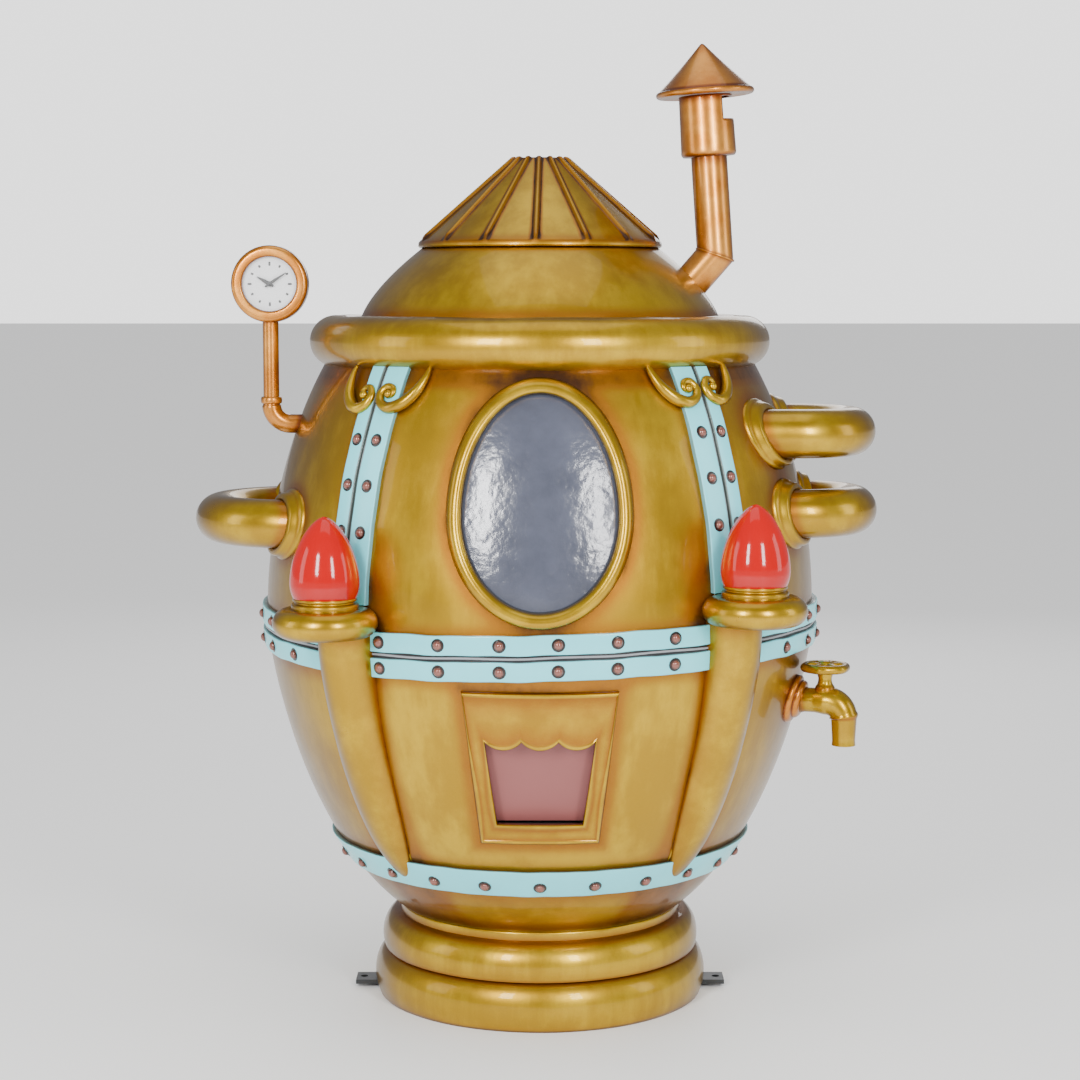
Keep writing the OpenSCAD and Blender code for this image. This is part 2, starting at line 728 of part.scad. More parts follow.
// ---- tap ----
flange_r = 40;
flange_t = 14;
tap_bend = 30;
tap_out = 62;                 // from the skin to the start of the bend
spout_len = 46;
tap_skin_r = skin_r(tap_z);
wheel_at = tap_out - 4;       // from the skin to the handwheel's axis
bonnet_h = 26;
module tap_place() { at_az(tap_az) translate([0, -tap_skin_r, tap_z]) children(); }
module flange_disc(r, t) {
    intersection() {
        band(tap_z - r - 8, tap_z + r + 8, 0, t, tap_az - 20, tap_az + 20);
        tap_place() rotate([90, 0, 0]) translate([0, 0, -30]) cylinder(r = r, h = 30 + big);
    }
}
module tap_flange() {
    color(copper) difference() {
        union() {
            flange_disc(flange_r, flange_t);
            flange_disc(flange_r - 9, flange_t + 8);
        }
        tap_place() rotate([90, 0, 0]) translate([0, 0, -60]) cylinder(r = tap_r, h = 160);
    }
}
module tap_body() {
    color(gold) difference() {
        union() {
            tap_place() {
                rotate([90, 0, 0]) translate([0, 0, -30]) cylinder(r = tap_r, h = 30 + tap_out);
                translate([0, -tap_out, -tap_bend]) rotate([0, -90, 180]) rotate([0, 0, 0])
                    rotate([0, 0, 0]) rotate_extrude(angle = 90) translate([tap_bend, 0]) circle(r = tap_r);
                translate([0, -tap_out - tap_bend, -tap_bend - spout_len]) cylinder(r1 = tap_r - 2, r2 = tap_r, h = spout_len);
                translate([0, -wheel_at, 0]) cylinder(r = 13, h = tap_r + bonnet_h);
            }
        }
        seat_cone(tap_z);
        tap_place() translate([0, -wheel_at, tap_r - 10]) cylinder(r = spindle_r + run_fit, h = big);
        tap_place() translate([0, -tap_out - tap_bend, -tap_bend - spout_len - 1]) cylinder(r = tap_r - 6, h = 24);
    }
}
module tap_handwheel() {
    color(gold) tap_place() translate([0, -wheel_at, 0]) {
        translate([0, 0, tap_r - 4]) cylinder(r = spindle_r, h = bonnet_h + 20);
        translate([0, 0, tap_r + bonnet_h + seat]) difference() {
            rotate_extrude() {
                translate([wheel_r - 8, 9]) circle(r = 8);
                translate([0, 3]) square([wheel_r - 6, 12]);
            }
            for (i = [0:5]) rotate([0, 0, 60 * i]) translate([23, 0, -1]) cylinder(r = 7, h = 30);
        }
    }
}

// ---- clock ----
module clock_place() { at_az(clock_az) translate([0, -clock_path_r, 0]) children(); }
clock_x = clock_path_r * sin(clock_az);
clock_y = -clock_path_r * cos(clock_az);
module clock_pipe() {
    bend = 34;
    color(copper) difference() {
        clock_place() {
            translate([0, 0, clock_bend_z + bend]) cylinder(r = clock_pipe_r, h = clock_z - clock_r - clock_bend_z - bend + 12);
            translate([0, 0, clock_bend_z + bend]) cylinder(r = clock_pipe_r + 5, h = 14);
            translate([0, bend, clock_bend_z + bend]) rotate([0, 90, 180]) rotate([0, 0, 0])
                rotate_extrude(angle = 90) translate([bend, 0]) circle(r = clock_pipe_r + 2);
            translate([0, bend, clock_bend_z]) rotate([-90, 0, 0]) cylinder(r = clock_pipe_r + 2, h = 60);
        }
        body_solid(0, 900, rim_z);
        translate([clock_x, clock_y, clock_z]) rotate([90, 0, 0]) cylinder(r = clock_r, h = clock_depth, center = true);
    }
}
front_y = clock_y - clock_depth / 2;
module clock_axis(from) { translate([clock_x, from, clock_z]) rotate([90, 0, 0]) children(); }
module clock_case() {
    color(copper) difference() {
        clock_axis(front_y + clock_depth) cylinder(r = clock_r, h = clock_depth);
        clock_axis(front_y + 14) cylinder(r = dial_r + 2, h = big);
        clock_axis(front_y + 32) translate([-30, -30, 0]) cube([60, 60, 60]);
    }
}
module clock_movement() {
    color("black") difference() {
        union() {
            clock_axis(front_y + 32) translate([-28, -28, 0]) cube([56, 56, 16]);
            clock_axis(front_y + 16) cylinder(r = 4, h = 6);
        }
        clock_axis(front_y + 30) cylinder(r = arbor_r + run_fit, h = 40);
    }
}
module clock_dial() {
    color("white") difference() {
        clock_axis(front_y + 14) cylinder(r = dial_r + 2, h = 2);
        clock_axis(front_y + 15) cylinder(r = 4.5, h = 6);
    }
}
module clock_glass() { color("lightcyan", 0.4) clock_axis(front_y + 3) cylinder(r = dial_r + 2, h = 2); }
module hand(az, length, w, y) {
    clock_axis(y) rotate([0, 0, -az]) difference() {
        union() {
            translate([-w / 2, -8, 0]) cube([w, length + 8, 1]);
            cylinder(r = arbor_r + 2.5, h = 1);
        }
        children();
    }
}
module hour_hand() {
    color("black") hand(300, 23, 4, front_y + 9) translate([0, 0, -1]) cylinder(r = arbor_r + run_fit, h = 4);
}
module minute_hand() {
    color("black") {
        hand(56, 34, 3, front_y + 7);
        clock_axis(front_y + 28) cylinder(r = arbor_r, h = 21.5);
    }
}

// ---- chimney ----
module chimney_place() { translate([elbow_x, 0, elbow_z]) rotate([0, -lean, 0]) children(); }
module chimney_pipe() {
    color(copper) difference() {
        union() {
            chimney_place() cylinder(r = flue_r, h = flue_len + 20);
            translate([elbow_x, 0, elbow_z]) sphere(r = flue_r + 1.5);
            translate([elbow_x, 0, elbow_z]) rotate([0, -90 - stub_angle, 0]) cylinder(r = flue_r, h = 130);
        }
        dome_solid();
        chimney_place() translate([0, 0, 4]) cylinder(r = flue_r - pipe_wall, h = big);
    }
}
module chimney_cowl() {
    color(copper) chimney_place() translate([0, 0, flue_len]) difference() {
        rotate_extrude() {
            translate([0, 6]) square([cowl_r, cowl_h - 6]);
            square([cowl_r - 6, cowl_h]);
            translate([cowl_r - 6, 6]) circle(r = 6);
        }
        translate([0, 0, -1]) cylinder(r = flue_r, h = big);
        translate([14, -24, cowl_h * 0.42]) cube([60, 48, cowl_h * 0.34]);
    }
}
module chimney_cap() {
    color(copper) chimney_place() translate([0, 0, flue_len + cowl_h]) rotate_extrude() {
        polygon([[0, 0], [hat_r - 6, 0], [hat_r - 4, 11], [6, hat_h], [0, hat_h]]);
        translate([hat_r - 6, 6]) circle(r = 6);
    }
}

// ---- mechanism ----
motor_y = gear_m * (wheel_teeth + pinion_teeth) / 2;
gear_z = deck_z - 32;
gear_h = 18;
function gear_outline(teeth, m, back = 0.6) = let (rp = m * teeth / 2, half = (PI * m / 2 - back) / 2,
    tip = half - m * tan(20), root = half + 1.25 * m * tan(20), pitch = 360 / teeth)
    [for (i = [0:teeth - 1], q = [[rp - 1.25 * m, -root], [rp + m, -tip], [rp + m, tip], [rp - 1.25 * m, root]])
        let (a = i * pitch + q[1] / rp * 180 / PI) [q[0] * cos(a), q[0] * sin(a)]];
module inner_deck() {
    color("burlywood") difference() {
        translate([0, 0, deck_z]) cylinder(r = skin_r(deck_z) - shell_t - 2, h = deck_t);
        translate([0, 0, deck_z - 1]) cylinder(r = shaft_r + run_fit, h = deck_t + 2);
        translate([0, -pocket_path_r, deck_z - 1]) cylinder(r = pocket_r + 2, h = deck_t + 2);
    }
}
hopper_low_h = rotor_h + 12;
hopper_r = 255;
hopper_h = 190;
module hopper() {
    wall = 4;
    r = rotor_r + 2;
    color("lightsteelblue") translate([0, 0, deck_top]) rotate_extrude() polygon([[r, 0], [r + wall + 14, 0],
        [r + wall + 14, 4], [r + wall, 4], [r + wall, hopper_low_h], [hopper_r, hopper_low_h + 60],
        [hopper_r, hopper_h], [hopper_r - wall, hopper_h], [hopper_r - wall, hopper_low_h + 63],
        [r, hopper_low_h + 2]]);
}
module dosing_rotor() {
    color("ivory") {
        difference() {
            translate([0, 0, deck_top + seat]) cylinder(r = rotor_r, h = rotor_h);
            for (i = [0:5]) rotate([0, 0, -90 + 60 * i]) translate([pocket_path_r, 0, deck_top - 1])
                cylinder(r = pocket_r, h = rotor_h + 4);
        }
        translate([0, 0, gear_z]) cylinder(r = shaft_r, h = deck_top - gear_z + 1);
        translate([0, 0, deck_top + rotor_h]) cylinder(r1 = 60, r2 = 8, h = 40);
    }
}
module rotor_gear() {
    color("silver") translate([0, 0, gear_z]) difference() {
        linear_extrude(gear_h) polygon(gear_outline(wheel_teeth, gear_m));
        translate([0, 0, -1]) cylinder(r = shaft_r, h = gear_h + 2);
    }
}
motor_shaft_r = 5;
motor_drop = 10;              // from the pinion to the motor's case
module drive_pinion() {
    color("silver") translate([0, motor_y, gear_z]) {
        difference() {
            rotate([0, 0, 180 / pinion_teeth]) linear_extrude(gear_h) polygon(gear_outline(pinion_teeth, gear_m));
        }
        translate([0, 0, -motor_drop - 30]) cylinder(r = motor_shaft_r, h = motor_drop + 30);
    }
}
module gear_motor() {
    top = gear_z - motor_drop;
    color(steel) difference() {
        union() {
            translate([-45, motor_y - 35, top - 90]) cube([90, 70, 90]);
            for (x = [-1, 1]) translate([x * 52 - 7, motor_y - 35, top - 60]) cube([14, 70, deck_z - top + 60]);
        }
        translate([0, motor_y, top - 31]) cylinder(r = motor_shaft_r + run_fit, h = 60);
    }
}
module delivery_chute() {
    w = 2 * pocket_r + 8;
    top_y = -pocket_path_r;
    wall = 2;
    low_y = tray_back - tray_wall - w / 2 - wall - 1;
    module run(grow) {
        rotate([90, 0, 90]) translate([0, 0, -w / 2 - grow]) linear_extrude(w + 2 * grow) polygon([
            [top_y + w / 2 + grow, deck_z + (grow > 0 ? 0 : 1)], [top_y - w / 2 - grow, deck_z + (grow > 0 ? 0 : 1)],
            [top_y - w / 2 - grow, deck_z - 20], [low_y - w / 2, tray_top + (grow > 0 ? 0 : -1)],
            [low_y + w / 2, tray_top + (grow > 0 ? 0 : -1)], [top_y + w / 2 + grow, deck_z - 60]]);
    }
    color("lightgray") difference() {
        run(wall);
        run(0);
    }
}

// ---- service door ----
hinge_tilt = atan(-skin_slope(hinge_z) * 1);
hinge_y = skin_y(hinge_x, hinge_z) + 14;
module on_hinge() { translate([hinge_x, hinge_y, hinge_z]) rotate([hinge_tilt, 0, 0]) children(); }
hinge_at = [-70, 70];
module service_door() {
    reach = door_w + door_lap;
    color(gold) {
        difference() {
            intersection() {
                band(door_low_z - door_lap, door_top_z + door_lap, door_gap, door_gap + door_t, 90, 270);
                translate([-reach, 0, 0]) cube([2 * reach, big, 2 * big]);
            }
            lock_axis() translate([0, 0, -big / 2]) cylinder(r = 9 + run_fit, h = big);
        }
        difference() {
            on_hinge() for (z = hinge_at) translate([0, 0, z]) {
                cylinder(r = hinge_r, h = knuckle);
                translate([0, -14, 0]) cube([44, 12, knuckle]);
                translate([0, -hinge_r, 0]) cube([6, hinge_r, knuckle]);
            }
            body_solid(door_gap + door_t, door_low_z - 50, door_top_z + 50);
            on_hinge() translate([0, 0, -big / 2]) cylinder(r = 3 + run_fit, h = big);
        }
    }
}
module door_hinges() {
    color(steel) {
        for (z = hinge_at) difference() {
            on_hinge() translate([-30, -26, z - knuckle - seat]) cube([30 - hinge_r + 2, 20 + hinge_r, knuckle]);
            seat_cone(hinge_z + z * cos(hinge_tilt) - knuckle / 2);
        }
        on_hinge() for (z = hinge_at) {
            translate([0, 0, z - knuckle - seat]) cylinder(r = hinge_r, h = knuckle);
            translate([0, 0, z - 6]) cylinder(r = 3, h = knuckle + 6);
        }
    }
}
lock_x = door_w - 26;
lock_y = skin_y(lock_x, hinge_z);
module lock_axis() { translate([lock_x, lock_y, hinge_z]) rotate([-90, 0, 0]) children(); }
module door_lock() {
    color("silver") lock_axis() {
        translate([0, 0, -24]) cylinder(r = 9, h = 46);
        translate([0, 0, 16]) cylinder(r = 13, h = 8);
        translate([-8, -8, -28]) cube([16, 46, 4]);
    }
}

anchor_bar();
base_feet();
base_frame();
base_shell();
lower_shell();
bottom_strip();
belt_strip_lower();
belt_strip_upper();
strip_rivets();
front_panel();
rear_shell();
side_strips();
scroll_ornaments();
brim_ring();
dome_shell();
ribbed_cap();
window_bezel();
window_gasket();
window_pane();
hatch_frame();
hatch_tray();
delivery_flap();
flap_pin();
column_left();
column_right();
lamp_shelf_left();
lamp_shelf_right();
lamp_collars();
lamp_dome_left();
lamp_dome_right();
lamp_bulbs();
pipe_loop_left();
pipe_loop_upper();
pipe_loop_lower();
loop_collars();
tap_flange();
tap_body();
tap_handwheel();
clock_pipe();
clock_case();
clock_movement();
clock_dial();
clock_glass();
hour_hand();
minute_hand();
chimney_pipe();
chimney_cowl();
chimney_cap();
inner_deck();
hopper();
dosing_rotor();
rotor_gear();
gear_motor();
drive_pinion();
delivery_chute();
control_unit();
power_inlet();
service_door();
door_hinges();
door_lock();
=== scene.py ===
"""Looks of the boiler-shaped treat machine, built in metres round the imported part.

The body is a painted skin turned about the upright axis. Points are worked out in millimetres:
an azimuth of 0 degrees faces the front (-Y), 90 degrees is the right side (+X), and "out" is how
far a point stands proud of the skin. make_piece turns them into metres.
"""

import math

import bmesh
import bpy
import numpy as np
from bpy.props import FloatProperty, FloatVectorProperty, PointerProperty
from bpy.types import Operator, Panel, PropertyGroup
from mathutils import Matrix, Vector


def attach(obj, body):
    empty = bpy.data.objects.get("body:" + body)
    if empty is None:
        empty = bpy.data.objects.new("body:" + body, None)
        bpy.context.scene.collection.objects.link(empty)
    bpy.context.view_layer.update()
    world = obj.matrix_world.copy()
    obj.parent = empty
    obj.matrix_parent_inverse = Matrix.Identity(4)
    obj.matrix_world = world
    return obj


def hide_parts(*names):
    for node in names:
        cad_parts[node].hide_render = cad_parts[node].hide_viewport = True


bl_info = {
    "name": "Boiler Treat Machine",
    "version": (1, 0, 0),
    "blender": (4, 5, 0),
    "location": "3D View > Sidebar > Boiler",
    "description": "Builds the painted skins, trim and fittings of a boiler-shaped treat machine",
    "category": "Object",
}

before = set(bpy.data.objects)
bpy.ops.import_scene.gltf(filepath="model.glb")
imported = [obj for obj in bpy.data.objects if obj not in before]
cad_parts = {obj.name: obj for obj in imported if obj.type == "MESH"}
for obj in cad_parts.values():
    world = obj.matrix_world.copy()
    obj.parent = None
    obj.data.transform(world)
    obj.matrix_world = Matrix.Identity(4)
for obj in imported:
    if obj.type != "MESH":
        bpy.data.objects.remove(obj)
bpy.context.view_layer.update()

# ---- the part's own sizes, in millimetres and degrees ----
BODY_R, SEAM_Z, WIDE_UP, UPPER_HALF, LOWER_SPAN = 488.0, 679.0, 21.0, 702.0, 579.0
NECK_Z, RIM_Z = 165.0, 1140.0
BEAD_LOW_R, BEAD_HIGH_R, BEAD_HIGH_Z, BEAD_HIGH_H = 300.0, 286.0, 104.0, 46.0
GROOVE_Z, GROOVE_DEPTH = 82.0, 27.0
BRIM_R, BRIM_Z = 362.0, 1176.0
DOME_LOW_Z, DOME_TOP_Z, DOME_LOW_R, DOME_TOP_R = 1200.0, 1340.0, 322.0, 209.0
CAP_R, CAP_TOP_R, CAP_TOP_Z, LIP_H, RIBS = 213.0, 45.0, 1497.0, 12.0, 15
SEAM_AZ, BELT_W, BELT_GAP = 40.7, 33.0, 10.0
FOOT_STRIP = (251.0, 301.0)
WINDOW_Z, WINDOW_UP, WINDOW_DOWN, WINDOW_R = 903.0, 221.0, 177.0, 151.0
HATCH_TOP_Z, HATCH_LOW_Z = 536.0, 392.0
LAMP_AZ, LAMP_PATH_R, LAMP_Z, LAMP_RISE, SHELF_T, COLLAR_H = 39.4, 550.0, 738.0, 10.0, 48.0, 16.0
COLUMN_LOW_Z = 262.0
LOOP_FRONT = 195.0
LOOPS = {"left": (-1, 866.0, 150.0, 610.0), "upper": (1, 1021.0, 105.0, 587.0), "lower": (1, 884.0, 105.0, 591.0)}
TAP_AZ, TAP_Z, TAP_R, TAP_BEND, TAP_OUT, SPOUT_LEN = 70.0, 557.0, 23.0, 30.0, 62.0, 46.0
CLOCK_AZ, CLOCK_PATH_R, CLOCK_Z, CLOCK_BEND_Z = -80.0, 478.0, 1276.0, 1032.0
CLOCK_R, DIAL_R, CLOCK_DEPTH = 67.0, 47.0, 40.0
ELBOW = (311.0, 0.0, 1328.0)
STUB_ANGLE, STUB_LEN, LEAN, FLUE_R, FLUE_LEN = 49.0, 124.0, 4.0, 32.0, 172.0
COWL_R, COWL_H, HAT_R, HAT_H = 49.0, 106.0, 87.0, 92.0
BELT_TILT = 0.024
DOOR_LOW_Z, DOOR_HIGH_Z, DOOR_HALF = 790.0, 990.0, 130.0
HATCH_AZ = 11.4
SURROUND_LOW_Z, SURROUND_TOP_Z, SURROUND_LOW_HALF, SURROUND_TOP_HALF = 354.0, 622.0, 98.0, 128.0
BAR_SLOT_AZ, INLET_SLOT_AZ = 5.4, 5.2
CAMERA_AT, CAMERA_TILT, CAMERA_LENS = (0, -4.218, 1.263), 6.02, 78.55
MM = 0.001


# ---- shapes ----
def skin_r(z):
    """Radius of the body at a height: an ellipse above the seam, a flattened power curve below it."""
    z = np.asarray(z, float)
    upper = BODY_R * np.sqrt(np.clip(1 - ((z - SEAM_Z - WIDE_UP) / UPPER_HALF) ** 2, 1e-3, None))
    at_seam = BODY_R * math.sqrt(1 - (WIDE_UP / UPPER_HALF) ** 2)
    depth = np.clip((SEAM_Z - z) / LOWER_SPAN, 0, 0.995)
    return np.where(z >= SEAM_Z, upper, at_seam * (1 - depth ** 1.41) ** 0.351)


def skin_slope(z):
    """How much the skin's radius grows for each unit of height."""
    return (skin_r(np.asarray(z) + 3.0) - skin_r(np.asarray(z) - 3.0)) / 6.0


def turn(az, r, z):
    """The point at an azimuth in degrees, a distance from the upright axis and a height."""
    a = np.radians(az)
    return np.stack(np.broadcast_arrays(r * np.sin(a), -r * np.cos(a), z), -1)


def on_skin(az, z, out=0.0):
    """The point at an azimuth and a height that stands out from the skin."""
    return turn(az, skin_r(z) + out, z)


def on_front(x, z, out=0.0, side=-1):
    """The point at a distance across and a height that stands out from the front (or rear) of the skin."""
    x, z, out = np.broadcast_arrays(x, z, out)
    return np.stack([x, side * np.sqrt(np.clip((skin_r(z) + out) ** 2 - x * x, 1.0, None)), z], -1)


def skin_frame(az, z):
    """Across, up and outward unit vectors of the skin at an azimuth and a height, one row each."""
    a, slope = np.radians(az), skin_slope(z)
    n = 1 / np.sqrt(1 + slope * slope)
    across = np.stack(np.broadcast_arrays(np.cos(a), np.sin(a), 0.0 * n), -1)
    outward = np.stack([np.sin(a) * n, -np.cos(a) * n, -slope * n], -1)
    return np.stack([across, np.cross(outward, across), outward], -2)


def hand_wave(az, z):
    """A slow unevenness of a hand-finished skin: four crossed sine waves, under a millimetre in all."""
    a = np.radians(az)
    wave = np.sin(5 * a + z / 71) + np.sin(11 * a - z / 43 + 1.3) + 0.7 * np.sin(z / 29 + 3 * a) + 0.6 * np.sin(17
            * a + z / 23)
    return 0.22 * wave


def belt_lift(az):
    """How far the hand-laid strips climb towards the right on the front."""
    a = np.radians(az)
    return BELT_TILT * BODY_R * np.sin(a) * (0.2 + 0.8 * np.clip(np.cos(a), 0, 1))


def under_skin(points, depth=3.0):
    """Points that would stand inside the body are brought out to a set depth under its skin."""
    r = np.hypot(points[..., 0], points[..., 1])
    grow = np.maximum((skin_r(points[..., 2]) - depth) / np.maximum(r, 1e-6), 1)
    return points * np.stack([grow, grow, np.ones_like(grow)], -1)


def rounded(corners, radius, steps=5, closed=True):
    """Each corner of an outline becomes a quadratic curve that starts and ends one radius away from it."""
    p = np.asarray(corners, float)
    radius = np.broadcast_to(np.asarray(radius, float), len(p))
    before, after = np.roll(p, 1, 0) - p, np.roll(p, -1, 0) - p
    lb, la = np.linalg.norm(before, axis=1), np.linalg.norm(after, axis=1)
    a = p + before * (np.minimum(radius, 0.48 * lb) / np.maximum(lb, 1e-9))[:, None]
    b = p + after * (np.minimum(radius, 0.48 * la) / np.maximum(la, 1e-9))[:, None]
    t = np.linspace(0, 1, steps)[None, :, None]
    curve = (1 - t) ** 2 * a[:, None] + 2 * t * (1 - t) * p[:, None] + t * t * b[:, None]
    if closed:
        return np.concatenate([curve.reshape(-1, 2), curve[0, :1]])
    return np.concatenate([p[:1], curve[1:-1].reshape(-1, 2), p[-1:]])


def smooth_path(points, count):
    """A cubic curve through the points: on each stretch it leaves and arrives along half the step between
    their neighbours."""
    p = np.asarray(points, float)
    m = np.gradient(p, axis=0)
    t = np.linspace(0, len(p) - 1, count)
    i = np.minimum(t.astype(int), len(p) - 2)
    u = (t - i)[:, None]
    return ((2 * u ** 3 - 3 * u * u + 1) * p[i] + (u ** 3 - 2 * u * u + u) * m[i]
            + (3 * u * u - 2 * u ** 3) * p[i + 1] + (u ** 3 - u * u) * m[i + 1])


def turned(profile, count=96, centre=(0.0, 0.0), start=0.0, span=360.0):
    """A profile of radii and heights turned about an upright axis."""
    profile = np.asarray(profile, float)
    az = start + np.linspace(0, span, count + 1)
    points = turn(az[None, :], profile[:, :1], profile[:, 1:])
    return points + np.array([centre[0], centre[1], 0.0])


def lathe(profile, turns, shift=0.0):
    """A profile of radii and heights turned about a local upright axis, which stands a shift along the second one."""
    reach = profile[:, :1]
    return np.stack(np.broadcast_arrays(reach * np.cos(turns), shift + reach * np.sin(turns), profile[:, 1:]), -1)


def placed(points, origin, across, up, outward):
    """Local across, up and outward distances laid along three directions from an origin."""
    return points @ np.array([across, up, outward], float) + np.asarray(origin, float)


def carried(path, side, up, profile, scale=1.0):
    """A closed profile carried along a path, with its two distances laid along side and up, scaled along the way."""
    scale = np.broadcast_to(np.asarray(scale, float), len(path))[:, None, None]
    side, up = np.broadcast_to(side, path.shape), np.broadcast_to(up, path.shape)
    return path[:, None] + scale * (profile[None, :, :1] * side[:, None] + profile[None, :, 1:] * up[:, None])


def flat_frames(path, normal):
    """Sides of a path that stays in one plane: its direction crossed with the plane's normal."""
    along = np.gradient(path, axis=0)
    side = np.cross(along, normal)
    return side / np.linalg.norm(side, axis=1)[:, None]


def circle(r, count=40, start=0.0):
    """A closed circle of points."""
    a = start + np.linspace(0, 2 * math.pi, count + 1)
    return np.stack([r * np.cos(a), r * np.sin(a)], -1)


def half_round(r, count=10, low=-90.0, high=90.0, centre=(0.0, 0.0)):
    """An arc of points from one angle to another, in degrees."""
    a = np.radians(np.linspace(low, high, count))
    return np.stack([centre[0] + r * np.cos(a), centre[1] + r * np.sin(a)], -1)


def capped(grid):
    """Closes both ends of a grid of rings with a fan to each end ring's middle."""
    first, last = grid[:1].mean(1, keepdims=True), grid[-1:].mean(1, keepdims=True)
    count = grid.shape[1]
    return np.concatenate([np.repeat(first, count, 1), grid, np.repeat(last, count, 1)])


def egg_outline(inset, count=160):
    """The window's outline: half an ellipse above its widest line and a shorter half below it."""
    a = np.linspace(0, 2 * math.pi, count + 1)
    half = np.where(np.sin(a) > 0, WINDOW_UP, WINDOW_DOWN)
    return np.stack([(WINDOW_R - inset) * np.cos(a), WINDOW_Z + (half - inset) * np.sin(a)], -1)


def outline_normals(outline):
    """Outward directions across a closed outline that runs anticlockwise."""
    step = np.roll(outline[:-1], -1, 0) - np.roll(outline[:-1], 1, 0)
    n = np.stack([step[:, 1], -step[:, 0]], -1)
    n /= np.linalg.norm(n, axis=1)[:, None]
    return np.concatenate([n, n[:1]])


def spread(knots, step):
    """Values from the first knot to the last, no further apart than a step, with one on each knot."""
    spans = [np.linspace(a, b, max(2, int(math.ceil((b - a) / step)) + 1))[:-1] for a,
             b in zip(knots[:-1], knots[1:])]
    return np.concatenate(spans + [np.array([knots[-1]])])


def near(distance, reach, amount):
    """How much patina and painted shade lie at a distance from an edge: a bell that falls off over its reach."""
    return amount * np.exp(-(np.maximum(distance, 0) / reach) ** 2)


def skin_tone(az, z):
    """Amber patina and painted shade on the skin: bells round each strip, rim, column, collar, window and hatch, laid
    over one another."""
    az, z = np.broadcast_arrays(np.asarray(az, float), np.asarray(z, float))
    az = (az + 180) % 360 - 180
    r = skin_r(z)
    x, y = r * np.sin(np.radians(az)), -r * np.cos(np.radians(az))
    lift = belt_lift(az)
    side = np.abs(np.abs(az) - 39.7) * math.pi / 180 * r
    # Painted shade: a dark band just under the brim, a faint wide one below it, and a darkening towards the neck; the
    # bells beside the belts and the foot strip are patina and painted shade.
    layers = [near(RIM_Z - 22 - z, 16, 0.7), near(RIM_Z - z, 90, 0.15),
              near(np.abs(z - lift - SEAM_Z) - 38, 20, 0.55), near(np.abs(z - 276) - 25, 22, 0.5),
              near(z - NECK_Z, 22, 0.5), near(z - NECK_Z, 70, 0.25)]
    # Patina and painted shade beside the columns and the side seams.
    layers.append(np.where(z > LAMP_Z, near(side - 40, 16, 0.5), near(side - 46, 22, 0.6) * (z < LAMP_Z)))
    # Painted shade: the sides and back past 45 degrees are darker all over.
    layers.append(np.where(np.abs(az) > 45, 0.16, 0.0))
    # Patina and painted shade round the window, the hatch, the lamps, the loops and the tap.
    half = np.where(z > WINDOW_Z, WINDOW_UP, WINDOW_DOWN)
    front = np.abs(az) < 60
    egg = (np.sqrt((x / WINDOW_R) ** 2 + ((z - WINDOW_Z) / half) ** 2) - 1) * 170
    layers.append(np.where(front, near(egg, 20, 0.6), 0) + np.where(front, near(egg, 60, 0.18), 0))
    flare = SURROUND_TOP_HALF - SURROUND_LOW_HALF
    width = SURROUND_LOW_HALF + (z - SURROUND_LOW_Z) * flare / (SURROUND_TOP_Z - SURROUND_LOW_Z)
    layers.append(np.where(front, near(np.maximum.reduce([np.abs(x) - width, SURROUND_LOW_Z - z, z - SURROUND_TOP_Z]),
                                       20, 0.72), 0))
    for sign in (-1, 1):
        across = (az - sign * LAMP_AZ) * math.pi / 180 * r
        layers.append(near(np.hypot(across, z - LAMP_Z - sign * LAMP_RISE) - 74, 22, 0.65))
    for sign, level, bend, _ in LOOPS.values():
        for leg in (-LOOP_FRONT, 2 * bend - LOOP_FRONT):
            gap = np.hypot(y - leg, z - level) - 58
            layers.append(np.where(x * sign > 0, near(gap, 18, 0.65), 0))
    tap = turn(TAP_AZ, skin_r(TAP_Z), TAP_Z)
    layers.append(near(np.sqrt((x - tap[0]) ** 2 + (y - tap[1]) ** 2 + (z - TAP_Z) ** 2) - 38, 18, 0.7))
    untoned = np.ones_like(r)
    for layer in layers:
        untoned = untoned * (1 - np.clip(layer, 0, 1))
    return 1 - untoned


class Work:
    """Grids of points gathered part by part, with a tone for each point, until they become one mesh."""

    def __init__(self):
        self.points, self.quads, self.tones, self.total = [], [], [], 0

    def grid(self, points, tone=0.0, keep=None):
        """Adds a rows by columns grid, or a stack of them, as quads between neighbours; keep says which
        quads stay."""
        points = np.asarray(points, float)
        rows, cols = points.shape[-3:-1]
        stack = points.reshape(-1, rows, cols, 3)
        index = np.arange(stack[..., 0].size).reshape(len(stack), rows, cols) + self.total
        quads = np.stack([index[:, :-1, :-1], index[:, 1:, :-1], index[:, 1:, 1:], index[:, :-1, 1:]], -1)
        if keep is not None:
            quads = quads[:, keep]
        self.points.append(stack.reshape(-1, 3))
        self.quads.append(quads.reshape(-1, 4))
        self.tones.append(np.broadcast_to(np.asarray(tone, float), points.shape[:-1]).reshape(-1))
        self.total += stack[..., 0].size
        return self


